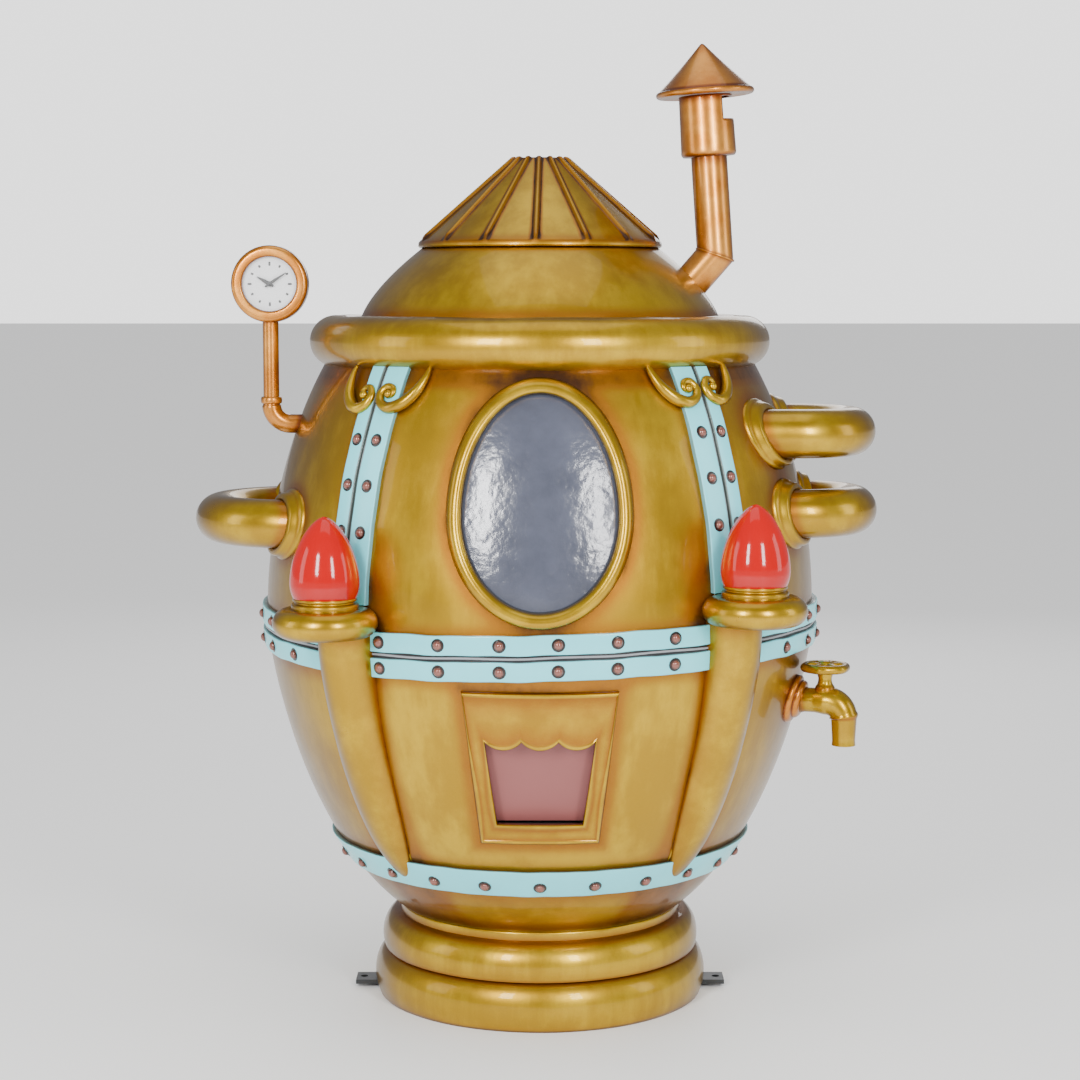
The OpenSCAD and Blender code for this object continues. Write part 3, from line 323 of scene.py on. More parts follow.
def make_piece(name, work, paint, body="machine", replaces=(), wall=0.0, centre=None, crease=35.0):
    """Joins the gathered grids into one mesh in metres, closes its seams and poles, points its faces outwards,
    and rides it on its body. centre is a point inside an open shell; wall is that shell's thickness."""
    mesh = bpy.data.meshes.new(name)
    points = np.concatenate(work.points) * MM
    quads = np.concatenate(work.quads)
    mesh.vertices.add(len(points))
    mesh.vertices.foreach_set("co", points.astype(np.float32).ravel())
    mesh.loops.add(quads.size)
    mesh.loops.foreach_set("vertex_index", quads.astype(np.int32).ravel())
    mesh.polygons.add(len(quads))
    mesh.polygons.foreach_set("loop_start", np.arange(0, quads.size, 4, dtype=np.int32))
    tone = mesh.attributes.new("tone", "FLOAT", "POINT")
    tone.data.foreach_set("value", np.concatenate(work.tones).astype(np.float32))
    mesh.update()
    shape = bmesh.new()
    shape.from_mesh(mesh)
    bmesh.ops.remove_doubles(shape, verts=shape.verts, dist=1e-5)
    loose = [v for v in shape.verts if not v.link_faces]
    bmesh.ops.delete(shape, geom=loose, context="VERTS")
    bmesh.ops.recalc_face_normals(shape, faces=shape.faces)
    shape.to_mesh(mesh)
    shape.free()
    if centre is not None:
        n = np.zeros(len(mesh.polygons) * 3, np.float32)
        c = np.zeros(len(mesh.polygons) * 3, np.float32)
        mesh.polygons.foreach_get("normal", n)
        mesh.polygons.foreach_get("center", c)
        away = (n.reshape(-1, 3) * (c.reshape(-1, 3) - np.asarray(centre) * MM)).sum(1)
        if np.sign(away).sum() < 0:
            mesh.flip_normals()
    mesh.shade_smooth()
    if crease:
        mesh.set_sharp_from_angle(angle=math.radians(crease))
    mesh.materials.append(paints()[paint])
    piece = bpy.data.objects.new(name, mesh)
    bpy.context.scene.collection.objects.link(piece)
    if wall:
        thickness = piece.modifiers.new("wall", "SOLIDIFY")
        thickness.thickness = wall * MM
        thickness.offset = -1
        thickness.use_even_offset = True
    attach(piece, body)
    if replaces:
        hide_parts(*replaces)
    return piece


# ---- finishes ----
class Nodes:
    """Short ways to add and join the nodes of one tree."""

    def __init__(self, tree):
        self.tree = tree

    def add(self, kind, inputs=None, **settings):
        """Adds a node, sets it, and joins or fills its inputs."""
        node = self.tree.nodes.new(kind)
        for key, value in settings.items():
            setattr(node, key, value)
        for key, value in (inputs or {}).items():
            if isinstance(value, bpy.types.NodeSocket):
                self.tree.links.new(value, node.inputs[key])
            else:
                node.inputs[key].default_value = value
        return node

    def math(self, kind, a, b=0.0, clamp=False):
        """One sum on two values."""
        return self.add("ShaderNodeMath", {0: a, 1: b}, operation=kind, use_clamp=clamp).outputs[0]

    def mix(self, factor, a, b, blend="MIX"):
        """Blends two colours."""
        return self.add("ShaderNodeMix", {0: factor, 6: a, 7: b}, data_type="RGBA", blend_type=blend).outputs[2]

    def noise(self, vector, scale, detail=4.0, rough=0.55):
        """Cloudy noise from 0 to 1."""
        return self.add("ShaderNodeTexNoise",
                        {"Vector": vector, "Scale": scale, "Detail": detail, "Roughness": rough}).outputs["Fac"]

    def stretched(self, vector, scale):
        """Coordinates squeezed by a factor along each axis."""
        return self.add("ShaderNodeMapping", {"Vector": vector, "Scale": scale}).outputs[0]

    def fade(self, value, low, high, start=0.0, end=1.0):
        """Runs from start to end, smoothly, as value goes from low to high."""
        return self.add("ShaderNodeMapRange", {0: value, 1: low, 2: high, 3: start, 4: end},
                        interpolation_type="SMOOTHSTEP").outputs[0]


def new_group(name, inputs, outputs):
    """An empty shader node group with named inputs and outputs."""
    group = bpy.data.node_groups.new(name, "ShaderNodeTree")
    for label, kind, value in inputs:
        group.interface.new_socket(name=label, in_out="INPUT", socket_type=kind).default_value = value
    for label, kind in outputs:
        group.interface.new_socket(name=label, in_out="OUTPUT", socket_type=kind)
    nodes = Nodes(group)
    return group, nodes, nodes.add("NodeGroupInput").outputs, nodes.add("NodeGroupOutput").inputs


COLOUR, VALUE = "NodeSocketColor", "NodeSocketFloat"


def brushed_paint_group():
    """Hand-brushed metallic paint: clouds of light and main colour, upright brush streaks, amber patina and painted
    shade laid by the tone attribute, and painted shade towards the silhouette."""
    group, n, given, wanted = new_group("brushed_paint", [
        ("Light", COLOUR, (0.7, 0.5, 0.15, 1)), ("Main", COLOUR, (0.5, 0.33, 0.06, 1)),
        ("Patina Shade", COLOUR, (0.35, 0.14, 0.03, 1)), ("Dark", COLOUR, (0.08, 0.03, 0.01, 1)),
        ("Cloud Scale", VALUE, 5.0), ("Streaks", VALUE, 0.5), ("Roughness", VALUE, 0.32), ("Silhouette Shade", VALUE, 0.0)],
        [("Color", COLOUR), ("Roughness", VALUE), ("Height", VALUE)])
    place = n.add("ShaderNodeTexCoord").outputs["Object"]
    tone = n.add("ShaderNodeAttribute", attribute_name="tone").outputs["Fac"]
    cloud = n.noise(place, given["Cloud Scale"], 5.0, 0.6)
    patch = n.noise(place, n.math("MULTIPLY", given["Cloud Scale"], 3.1), 6.0, 0.65)
    streak = n.noise(n.stretched(place, (34, 34, 5)), 1.0, 4.0, 0.6)
    flake = n.noise(place, 900.0, 1.0, 0.5)
    broken = n.math("MULTIPLY", n.math("SUBTRACT", patch, 0.5), 0.55)
    swept = n.math("MULTIPLY", n.math("MULTIPLY", n.math("SUBTRACT", streak, 0.5), given["Streaks"]), 0.7)
    # The tone attribute turns the paint amber, then crease brown: patina and painted shade together.
    settled_and_shaded = n.math("ADD", n.math("MULTIPLY", tone, n.math("ADD", 1.0, broken)), n.math("MULTIPLY", swept, 0.35),
                     clamp=True)
    bright = n.fade(n.math("ADD", cloud, swept), 0.38, 0.68)
    paint = n.mix(bright, given["Main"], given["Light"])
    paint = n.mix(n.fade(settled_and_shaded, 0.1, 0.72), paint, given["Patina Shade"])
    paint = n.mix(n.fade(settled_and_shaded, 0.66, 1.0), paint, given["Dark"])
    sparkle = n.add("ShaderNodeCombineColor",
                    {0: n.fade(flake, 0.3, 0.7, 0.93, 1.07), 1: n.fade(flake, 0.3, 0.7, 0.93, 1.07),
                     2: n.fade(flake, 0.3, 0.7, 0.93, 1.07)}).outputs[0]
    paint = n.mix(1.0, paint, sparkle, "MULTIPLY")
    # Painted shade: the paint darkens towards the silhouette, where the surface turns away from the camera.
    paint = n.mix(n.fade(given["Silhouette Shade"], 0.3, 0.9, 0.0, 0.9), paint,
                  n.mix(1.0, paint, (0.34, 0.28, 0.22, 1), "MULTIPLY"))
    rough = n.math("ADD", given["Roughness"], n.math("MULTIPLY", n.math("SUBTRACT", patch, 0.5), 0.16))
    rough = n.math("ADD", rough, n.math("MULTIPLY", settled_and_shaded, 0.12), clamp=True)
    peel = n.math("ADD", n.math("MULTIPLY", n.noise(place, 160.0, 2.0), 0.35),
                  n.math("MULTIPLY", n.noise(place, 26.0, 3.0), 1.0))
    height = n.math("ADD", peel, n.math("MULTIPLY", streak, 0.25))
    n.tree.links.new(paint, wanted["Color"])
    n.tree.links.new(rough, wanted["Roughness"])
    n.tree.links.new(height, wanted["Height"])
    return group


def worn_plain_group():
    """Plain moulded or painted stuff: faint clouds, fine grain, and a second colour where the tone attribute is high:
    painted shade on the strips, a painted highlight on the seam filler.
    """
    group, n, given, wanted = new_group("worn_plain", [
        ("Main", COLOUR, (0.5, 0.5, 0.5, 1)), ("Shade And Highlight", COLOUR, (0.05, 0.04, 0.03, 1)),
        ("Cloud Scale", VALUE, 8.0), ("Variation", VALUE, 0.12), ("Roughness", VALUE, 0.4),
        ("Grain Scale", VALUE, 300.0)],
        [("Color", COLOUR), ("Roughness", VALUE), ("Height", VALUE)])
    place = n.add("ShaderNodeTexCoord").outputs["Object"]
    tone = n.add("ShaderNodeAttribute", attribute_name="tone").outputs["Fac"]
    cloud = n.noise(place, given["Cloud Scale"], 6.0, 0.62)
    grain = n.noise(place, given["Grain Scale"], 3.0, 0.6)
    shade = n.math("ADD", 1.0, n.math("MULTIPLY", n.math("SUBTRACT", cloud, 0.5),
                                      n.math("MULTIPLY", given["Variation"], 2.0)))
    grey = n.add("ShaderNodeCombineColor", {0: shade, 1: shade, 2: shade}).outputs[0]
    colour = n.mix(1.0, given["Main"], grey, "MULTIPLY")
    # The second colour is laid where the tone attribute is high: painted shade on the turquoise strips, a painted
    # grey highlight on the black seam filler.
    colour = n.mix(n.fade(n.math("ADD", tone, n.math("MULTIPLY", n.math("SUBTRACT", cloud, 0.5), 0.3)), 0.25, 1.0),
                   colour, given["Shade And Highlight"])
    rough = n.math("ADD", given["Roughness"], n.math("MULTIPLY", n.math("SUBTRACT", grain, 0.5), 0.12), clamp=True)
    n.tree.links.new(colour, wanted["Color"])
    n.tree.links.new(rough, wanted["Roughness"])
    n.tree.links.new(n.math("ADD", grain, n.math("MULTIPLY", cloud, 2.0)), wanted["Height"])
    return group


def wood_group():
    """Plywood face: long grain drawn out along one axis, with darker pores."""
    group, n, given, wanted = new_group("plywood",
                                        [("Main", COLOUR, (0.52, 0.33, 0.16, 1)),
                                         ("Pores", COLOUR, (0.2, 0.1, 0.04, 1))],
                                        [("Color", COLOUR), ("Roughness", VALUE), ("Height", VALUE)])
    place = n.add("ShaderNodeTexCoord").outputs["Object"]
    grain = n.noise(n.stretched(place, (4, 60, 60)), 1.0, 6.0, 0.65)
    pores = n.noise(n.stretched(place, (30, 600, 600)), 1.0, 2.0, 0.5)
    colour = n.mix(n.fade(grain, 0.3, 0.75), given["Main"], given["Pores"])
    colour = n.mix(n.fade(pores, 0.58, 0.8, 0.0, 0.6), colour, given["Pores"])
    n.tree.links.new(colour, wanted["Color"])
    n.tree.links.new(n.math("ADD", 0.35, n.math("MULTIPLY", grain, 0.2)), wanted["Roughness"])
    n.tree.links.new(n.math("ADD", grain, pores), wanted["Height"])
    return group


def finish(name, group, values, bump=0.05, distance=0.001, **shader):
    """A material: one group's colour, roughness and height on a Principled shader with plain values of its own."""
    material = bpy.data.materials.get(name)
    if material:
        return material
    material = bpy.data.materials.new(name)
    material.use_nodes = True
    tree = material.node_tree
    n = Nodes(tree)
    principled = tree.nodes["Principled BSDF"]
    made = n.add("ShaderNodeGroup", node_tree=group)
    for key, value in values.items():
        made.inputs[key].default_value = value
    # Painted shade: the facing weight darkens the brushed paint towards the silhouette.
    if "Silhouette Shade" in made.inputs:
        tree.links.new(n.add("ShaderNodeLayerWeight", {"Blend": 0.5}).outputs["Facing"], made.inputs["Silhouette Shade"])
    tree.links.new(made.outputs["Color"], principled.inputs["Base Color"])
    tree.links.new(made.outputs["Roughness"], principled.inputs["Roughness"])
    rise = n.add("ShaderNodeBump", {"Strength": bump, "Distance": distance, "Height": made.outputs["Height"]})
    tree.links.new(rise.outputs["Normal"], principled.inputs["Normal"])
    for key, value in shader.items():
        principled.inputs[key.replace("_", " ")].default_value = value
    return material


def rgba(colour):
    """A colour of three parts with a full fourth one."""
    return (*tuple(colour)[:3], 1.0)


PAINTS = {}


def paints():
    """Every finish of the machine, by a maker's name, built once from the chosen colours."""
    if "made" in PAINTS:
        return PAINTS
    c = bpy.context.scene.boiler_colours
    brushed, plain = brushed_paint_group(), worn_plain_group()
    coat = {"Metallic": 0.85, "Coat_Weight": 0.5, "Coat_Roughness": 0.035, "Coat_IOR": 1.36}
    gold = {"Light": rgba(c.gold_light), "Main": rgba(c.gold), "Patina Shade": rgba(c.amber), "Dark": rgba(c.crease)}
    PAINTS["gold"] = finish("brushed gold paint", brushed,
                            {**gold, "Cloud Scale": 4.5, "Streaks": 0.8, "Roughness": 0.34}, 0.22, 0.0012, **coat)
    PAINTS["gold_fittings"] = finish("gold paint on fittings", brushed,
                                     {**gold, "Cloud Scale": 11.0, "Streaks": 0.25, "Roughness": 0.3}, 0.14, 0.0008,
                                     **coat)
    PAINTS["copper"] = finish("brushed copper paint", brushed, {
        "Light": rgba(c.copper_light), "Main": rgba(c.copper), "Patina Shade": rgba(c.copper_patina_shade), "Dark": rgba(c.crease),
        "Cloud Scale": 12.0, "Streaks": 0.3, "Roughness": 0.3}, 0.14, 0.0008, **coat)
    PAINTS["rivet"] = finish("rivet paint", brushed, {
        "Light": rgba(c.rivet), "Main": rgba(c.rivet), "Patina Shade": (0.12, 0.035, 0.02, 1),
        "Dark": (0.02, 0.008, 0.006, 1),
        "Cloud Scale": 60.0, "Streaks": 0.0, "Roughness": 0.28}, 0.05, 0.0003, Metallic=0.55, Coat_Weight=0.8,
        Coat_Roughness=0.08)

    def add_plain(key, name, main, shade_and_highlight, texture, bump, distance, **shader):
        """One plain finish; texture holds its cloud scale, variation, roughness and grain scale."""
        values = dict(zip(("Cloud Scale", "Variation", "Roughness", "Grain Scale"), texture))
        PAINTS[key] = finish(name, plain, {"Main": main, "Shade And Highlight": shade_and_highlight, **values}, bump, distance, **shader)

    # The strips' second colour is painted shade, laid at their edges and where they meet the skin.
    add_plain("strip", "turquoise strip paint", rgba(c.turquoise), (0.10, 0.13, 0.12, 1),
              (22.0, 0.07, 0.33, 240.0), 0.12, 0.0006, Coat_Weight=0.5, Coat_Roughness=0.12)
    # Its grey second colour is a painted highlight along the glossy black seam bead and the filler's edges.
    add_plain("seam", "black seam filler", (0.012, 0.012, 0.014, 1), (0.3, 0.3, 0.32, 1),
              (30.0, 0.3, 0.35, 400.0), 0.2, 0.0004, Coat_Weight=0.4, Coat_Roughness=0.2)
    add_plain("lamp", "red lamp plastic", rgba(c.lamp_red), (0.35, 0.0, 0.0, 1),
              (14.0, 0.12, 0.12, 90.0), 0.03, 0.0006, Coat_Weight=0.35, Coat_Roughness=0.03, Specular_IOR_Level=0.35,
              Emission_Color=(1.0, 0.0, 0.0, 1), Emission_Strength=0.1)
    # The strong cloud variation paints mottled reflections into the smoked pane's colour.
    add_plain("smoke", "smoked window plastic", rgba(c.smoke), (0.3, 0.3, 0.34, 1),
              (7.0, 0.75, 0.17, 14.0), 0.35, 0.004, IOR=1.75, Alpha=0.96)
    add_plain("glass", "clear dial glass", (0.95, 0.97, 0.98, 1), (0.5, 0.5, 0.5, 1),
              (9.0, 0.02, 0.06, 50.0), 0.01, 0.0002, Alpha=0.05)
    add_plain("flap", "mauve flap plastic", rgba(c.flap), (0.12, 0.05, 0.05, 1),
              (9.0, 0.06, 0.5, 500.0), 0.08, 0.0004)
    add_plain("dial", "printed dial", (0.86, 0.87, 0.88, 1), (0.3, 0.3, 0.3, 1),
              (20.0, 0.02, 0.35, 500.0), 0.02, 0.0002)
    add_plain("black", "black plastic", (0.018, 0.018, 0.019, 1), (0.15, 0.14, 0.13, 1),
              (30.0, 0.3, 0.42, 700.0), 0.15, 0.0004)
    add_plain("rubber", "black rubber", (0.014, 0.014, 0.015, 1), (0.2, 0.19, 0.17, 1),
              (18.0, 0.35, 0.72, 350.0), 0.3, 0.0005)
    add_plain("black_steel", "black painted steel", (0.015, 0.017, 0.018, 1), (0.12, 0.1, 0.08, 1),
              (25.0, 0.5, 0.38, 260.0), 0.3, 0.0006, Coat_Weight=0.3)
    add_plain("zinc", "zinc-plated steel", (0.55, 0.56, 0.6, 1), (0.12, 0.12, 0.12, 1),
              (45.0, 0.18, 0.34, 500.0), 0.12, 0.0003, Metallic=1.0)
    add_plain("grey_steel", "grey painted steel", (0.16, 0.165, 0.175, 1), (0.05, 0.04, 0.035, 1),
              (16.0, 0.15, 0.45, 320.0), 0.15, 0.0005)
    add_plain("white", "white moulded plastic", (0.78, 0.77, 0.73, 1), (0.3, 0.27, 0.2, 1),
              (14.0, 0.05, 0.4, 400.0), 0.06, 0.0004)
    add_plain("bin", "hopper plastic", (0.45, 0.5, 0.55, 1), (0.2, 0.2, 0.2, 1),
              (6.0, 0.05, 0.15, 150.0), 0.03, 0.0004, Alpha=0.75)
    PAINTS["wood"] = finish("varnished plywood", wood_group(), {}, 0.2, 0.0006, Coat_Weight=0.4, Coat_Roughness=0.2)
    PAINTS["made"] = True
    return PAINTS


# ---- skins ----
def skin_patch(az_knots, z_knots, holes=(), step=(1.5, 8.0), waves=True):
    """A stretch of skin as a grid of azimuths and heights, leaving out the quads whose middle lies in a hole."""
    az, z = spread(az_knots, step[0]), spread(z_knots, step[1])
    grid_az, grid_z = np.meshgrid(az, z, indexing="ij")
    mid_az, mid_z = np.meshgrid((az[1:] + az[:-1]) / 2, (z[1:] + z[:-1]) / 2, indexing="ij")
    keep = np.ones(mid_az.shape, bool)
    for a0, a1, z0, z1 in holes:
        keep &= ~((mid_az > a0) & (mid_az < a1) & (mid_z > z0) & (mid_z < z1))
    out = hand_wave(grid_az, grid_z) if waves else 0.0
    return on_skin(grid_az, grid_z, out), skin_tone(grid_az, grid_z), keep


def seam_ridge(az, z0, z1, r=3.4):
    """A half-round bead laid up the skin at one azimuth, drawn in and out a little by hand."""
    z = np.linspace(z0, z1, 90)
    t = np.linspace(0, 1, 90)
    bend = az + 0.35 * np.sin(t * 9 + az)
    up = skin_frame(bend, z)
    profile = circle(1.0, 14) * np.array([1.25, 1.0])
    thick = r * np.sqrt(np.clip(1 - (2 * t - 1) ** 6, 0, 1)) * (1 + 0.12 * np.sin(t * 31))
    return capped(carried(on_skin(bend, z, 0.2), up[:, 0], up[:, 2], profile, thick))


def build_lower_skin(sizes):
    """The lower half of the egg with the hatch left open, and the two raised seams beside the columns."""
    grid, tone, keep = skin_patch([-180, -HATCH_AZ, HATCH_AZ, 180],
                                  [NECK_Z - 2, HATCH_LOW_Z - 3, HATCH_TOP_Z + 14, SEAM_Z],
                                  [(-HATCH_AZ, HATCH_AZ, HATCH_LOW_Z - 3, HATCH_TOP_Z + 14)])
    skin = Work().grid(grid, tone, keep)
    make_piece("lower_skin", skin, "gold", replaces=("lower_shell",), wall=sizes.wall / MM,
               centre=(0, 0, 430), crease=0)
    seams = Work()
    for az in (-36.4, 36.2):
        ridge = seam_ridge(az, 300, 650)
        seams.grid(ridge, 0.35)
    make_piece("raised_seams", seams, "gold_fittings")


def build_front_skin(sizes):
    """The removable front panel: rings of points run from the window's edge out to the panel's four sides."""
    count, rings = 60, 26
    run = np.linspace(-1, 1, count + 1)[:-1]
    one = np.ones(count)
    square = np.concatenate([np.stack([one, run], -1), np.stack([-run, one], -1), np.stack([-one, -run], -1),
                             np.stack([run, -one], -1)])
    square = np.concatenate([square, square[:1]])
    edge_z = np.where(square[:, 1] > 0, WINDOW_Z + square[:, 1] * (RIM_Z - WINDOW_Z),
                      WINDOW_Z + square[:, 1] * (WINDOW_Z - SEAM_Z))
    edge_az = square[:, 0] * SEAM_AZ
    a = np.arctan2(square[:, 1], square[:, 0])
    half = np.where(np.sin(a) > 0, WINDOW_UP, WINDOW_DOWN) - 12
    egg_x, egg_z = (WINDOW_R - 12) * np.cos(a), WINDOW_Z + half * np.sin(a)
    egg_az = np.degrees(np.arcsin(egg_x / skin_r(egg_z)))
    t = np.linspace(0, 1, rings + 1)[:, None]
    az, z = egg_az * (1 - t) + edge_az * t, egg_z * (1 - t) + edge_z * t
    skin = Work().grid(on_skin(az, z, hand_wave(az, z)), skin_tone(az, z))
    make_piece("front_skin", skin, "gold", replaces=("front_panel",), wall=sizes.wall / MM,
               centre=(0, 0, 900), crease=0)


def build_rear_skin(sizes):
    """The sides and back above the seam, with the service doorway left open."""
    half = math.degrees(math.asin(DOOR_HALF / float(skin_r((DOOR_LOW_Z + DOOR_HIGH_Z) / 2))))
    grid, tone, keep = skin_patch([SEAM_AZ, 180 - half, 180 + half, 360 - SEAM_AZ],
                                  [SEAM_Z, DOOR_LOW_Z, DOOR_HIGH_Z, RIM_Z],
                                  [(180 - half, 180 + half, DOOR_LOW_Z, DOOR_HIGH_Z)])
    skin = Work().grid(grid, tone, keep)
    make_piece("rear_skin", skin, "gold", replaces=("rear_shell",), wall=sizes.wall / MM,
               centre=(0, 0, 900), crease=0)


def build_base(sizes):
    """Two turned rolls: the lower is half an ellipse, the upper swells from the neck; slots let the bar
    through and the inlet in."""
    neck = float(skin_r(NECK_Z))
    low_a = np.radians(np.linspace(-42, 90, 22))
    low = np.stack([BEAD_LOW_R - GROOVE_DEPTH + GROOVE_DEPTH * np.cos(low_a), 34 + 48 * np.sin(low_a)], -1)
    low[0, 1] = 0
    z = np.linspace(GROOVE_Z + 2.5, BEAD_HIGH_Z + BEAD_HIGH_H, 26)
    high = np.stack([neck + (BEAD_HIGH_R - neck) * np.sqrt(np.clip(1 - ((z - BEAD_HIGH_Z) / BEAD_HIGH_H) ** 2, 0, 1)),
                     z], -1)
    profile = np.concatenate([low, high, [[neck - 0.5, NECK_Z - 4], [neck - 1, NECK_Z]]])
    az = spread([-90 - BAR_SLOT_AZ, -90 + BAR_SLOT_AZ, 90 - BAR_SLOT_AZ, 90 + BAR_SLOT_AZ,
                 180 - INLET_SLOT_AZ, 180 + INLET_SLOT_AZ, 270 - BAR_SLOT_AZ], 1.8)
    heights = profile[:, 1]
    points = turn(az[None, :], profile[:, :1] + 0.9 * hand_wave(az[None, :], heights[:, None]), profile[:, 1:])
    # Patina and painted shade in the groove between the rolls, at the neck and at the floor.
    crease = np.maximum.reduce([near(np.abs(heights - GROOVE_Z - 1), 7, 0.72),
                                near(np.abs(heights - GROOVE_Z - 1), 26, 0.35),
                                near(np.abs(heights - 150), 10, 0.6), near(heights, 12, 0.4)])
    mid_az, mid_z = np.meshgrid((az[1:] + az[:-1]) / 2, (heights[1:] + heights[:-1]) / 2, indexing="xy")
    slot = (np.minimum(np.abs(mid_az + 90), np.abs(mid_az - 90)) < BAR_SLOT_AZ) & (mid_z < 18)
    slot |= (np.abs(mid_az - 180) < INLET_SLOT_AZ) & (np.abs(mid_z - 108) < 14)
    rolls = Work().grid(points, np.broadcast_to(crease[:, None], points.shape[:2]), ~slot)
    make_piece("base_rolls", rolls, "gold", replaces=("base_shell",), wall=sizes.wall / MM,
               centre=(0, 0, 80), crease=50)


def build_top(sizes):
    """The brim is a closed ring, the dome a turned shell, the cap a cone with half-round ribs."""
    tube = sizes.brim_tube / MM
    around, section = np.meshgrid(np.linspace(0, 360, 241), np.linspace(-180, 180, 61), indexing="ij")
    swell = tube * (1 + 0.012 * np.sin(np.radians(around) * 7) + 0.01 * np.sin(np.radians(around) * 13 + 1))
    s = np.radians(section)
    points = turn(around, BRIM_R + swell * np.cos(s), BRIM_Z + swell * np.sin(s) * 0.98)
    # Patina and painted shade under the roll against the body and in the crease where the dome rises from it.
    tone = np.maximum(near(np.abs(section + 112), 26, 0.7), near(np.abs(section - 118), 30, 0.75))
    make_piece("brim", Work().grid(points, tone), "gold", replaces=("brim_ring",), crease=0)

    z = np.concatenate([np.linspace(RIM_Z, DOME_LOW_Z, 6), np.linspace(DOME_LOW_Z, DOME_TOP_Z, 34)[1:]])
    t = np.clip((z - DOME_LOW_Z) / (DOME_TOP_Z - DOME_LOW_Z), 0, 1)
    r = DOME_TOP_R + (DOME_LOW_R - DOME_TOP_R) * (1 - t ** 1.6)
    az = np.linspace(0, 360, 241)
    points = turn(az[None], r[:, None] + 1.2 * hand_wave(az[None], z[:, None]), z[:, None])
    # Patina and painted shade where the dome rises from the brim and under the cap's lip.
    tone = np.maximum(near(z - 1216, 22, 0.75), near(DOME_TOP_Z - z, 12, 0.6))[:, None]
    make_piece("dome", Work().grid(points, np.broadcast_to(tone, points.shape[:2])), "gold",
               replaces=("dome_shell",), wall=sizes.wall / MM, centre=(0, 0, 1200), crease=0)

    cell = np.linspace(-0.5, 0.5, 25)
    s = np.concatenate([[0], np.linspace(0.02, 0.98, 44), [1]])
    low, high = np.array([CAP_R, DOME_TOP_Z + LIP_H]), np.array([CAP_TOP_R, CAP_TOP_Z])
    r = low[0] + (high[0] - low[0]) * s
    z = low[1] + (high[1] - low[1]) * s
    pitch = 2 * math.pi / RIBS
    reach = pitch * r[:, None] / 2
    d = np.where(np.abs(cell)[None] <= 0.3, cell[None] / 0.3 * 8.0,
                 np.sign(cell)[None] * (8.0 + (np.abs(cell)[None] - 0.3) / 0.2 * (reach - 8.0)))
    d = np.clip(d, -reach, reach)
    width = (5.2 - 1.2 * s)[:, None]
    rib = sizes.cap_rib / MM * np.exp(-(np.abs(d) / width) ** 3.2) * np.clip((1.02 - s)[:, None] * 30, 0,
            1) * np.clip(0.25 + s[:, None] * 22, 0, 1)
    # Patina and painted shade along the ribs' flanks and middles, at the lip and at the top.
    crease = 0.12 + near(np.abs(np.abs(d) - 6.5), 2.8, 0.75) + near(np.abs(d), 5.0, 0.3) + near(s[:, None], 0.06,
            0.4) + near(1 - s[:, None], 0.05, 0.3)
    lift = np.array([CAP_TOP_Z - DOME_TOP_Z - LIP_H, CAP_R - CAP_TOP_R])
    lift = lift / np.linalg.norm(lift)
    sides = []
    for i in range(RIBS):
        az = np.degrees(i * pitch + d / r[:, None]) - 2
        sides.append(turn(az, r[:, None] + rib * lift[0], z[:, None] + rib * lift[1]))
    around = np.concatenate([g[:, :-1] for g in sides] + [sides[0][:, :1]], 1)
    tones = np.concatenate([crease[:, :-1]] * RIBS + [crease[:, :1]], 1)
    az0 = np.degrees(np.arctan2(around[0, :, 0], -around[0, :, 1]))
    lip = [(0, 0), (CAP_R - 10, 0), (CAP_R + 1.0, 0), (CAP_R + 3.2, 2.5), (CAP_R + 2.6, LIP_H - 3)]
    lip = np.stack([turn(az0, edge_r, DOME_TOP_Z + edge_z) for edge_r, edge_z in lip])
    flat = np.array([0, 0, CAP_TOP_Z - 0.6])
    top = np.stack([around[-1] * [0.86, 0.86, 0] + flat, 0 * around[-1] + flat])
    points = np.concatenate([lip, around, top])
    tones = np.concatenate([np.full((5, tones.shape[1]), 0.25), tones, np.full((2, tones.shape[1]), 0.2)])
    tones[4] = 0.75
    make_piece("cap", Work().grid(points, np.clip(tones, 0, 1)), "gold", replaces=("ribbed_cap",),
               crease=42)


# ---- strips and rivets ----
def strip_run(az0, az1, z0, z1, out, lift=True, step=1.5):
    """A slab with rounded edges that follows the skin between two azimuths, closed at both ends or all the
    way round."""
    corners = [[-1.5, z0 + 0.5], [out, z0], [out, z1], [-1.5, z1 - 0.5]]
    profile = rounded(corners, [0.5, 2.6, 2.6, 0.5])
    az = spread([az0, az1], step)
    wave = 0.5 * np.sin(np.radians(az) * 23) + 0.4 * np.sin(np.radians(az) * 41 + 1)
    if az1 - az0 >= 360:
        wave = wave * 0.6
    z = profile[None, :, 1] + (belt_lift(az) if lift else 0 * az)[:, None] + wave[:, None]
    points = on_skin(az[:, None], z, profile[None, :, 0])
    edge = np.minimum(np.abs(profile[:, 1] - z0), np.abs(profile[:, 1] - z1))
    # Darker at the edges and where the slab meets the skin: painted shade on the turquoise strips, a painted grey
    # highlight on the black filler.
    tone = np.broadcast_to(near(edge, 1.2, 0.7) + near(np.maximum(profile[:, 0], 0), 2.5, 0.5), points.shape[:2])
    if az1 - az0 < 360:
        points = capped(points)
        tone = np.concatenate([tone[:1], tone, tone[-1:]])
    return points, np.clip(tone, 0, 1)


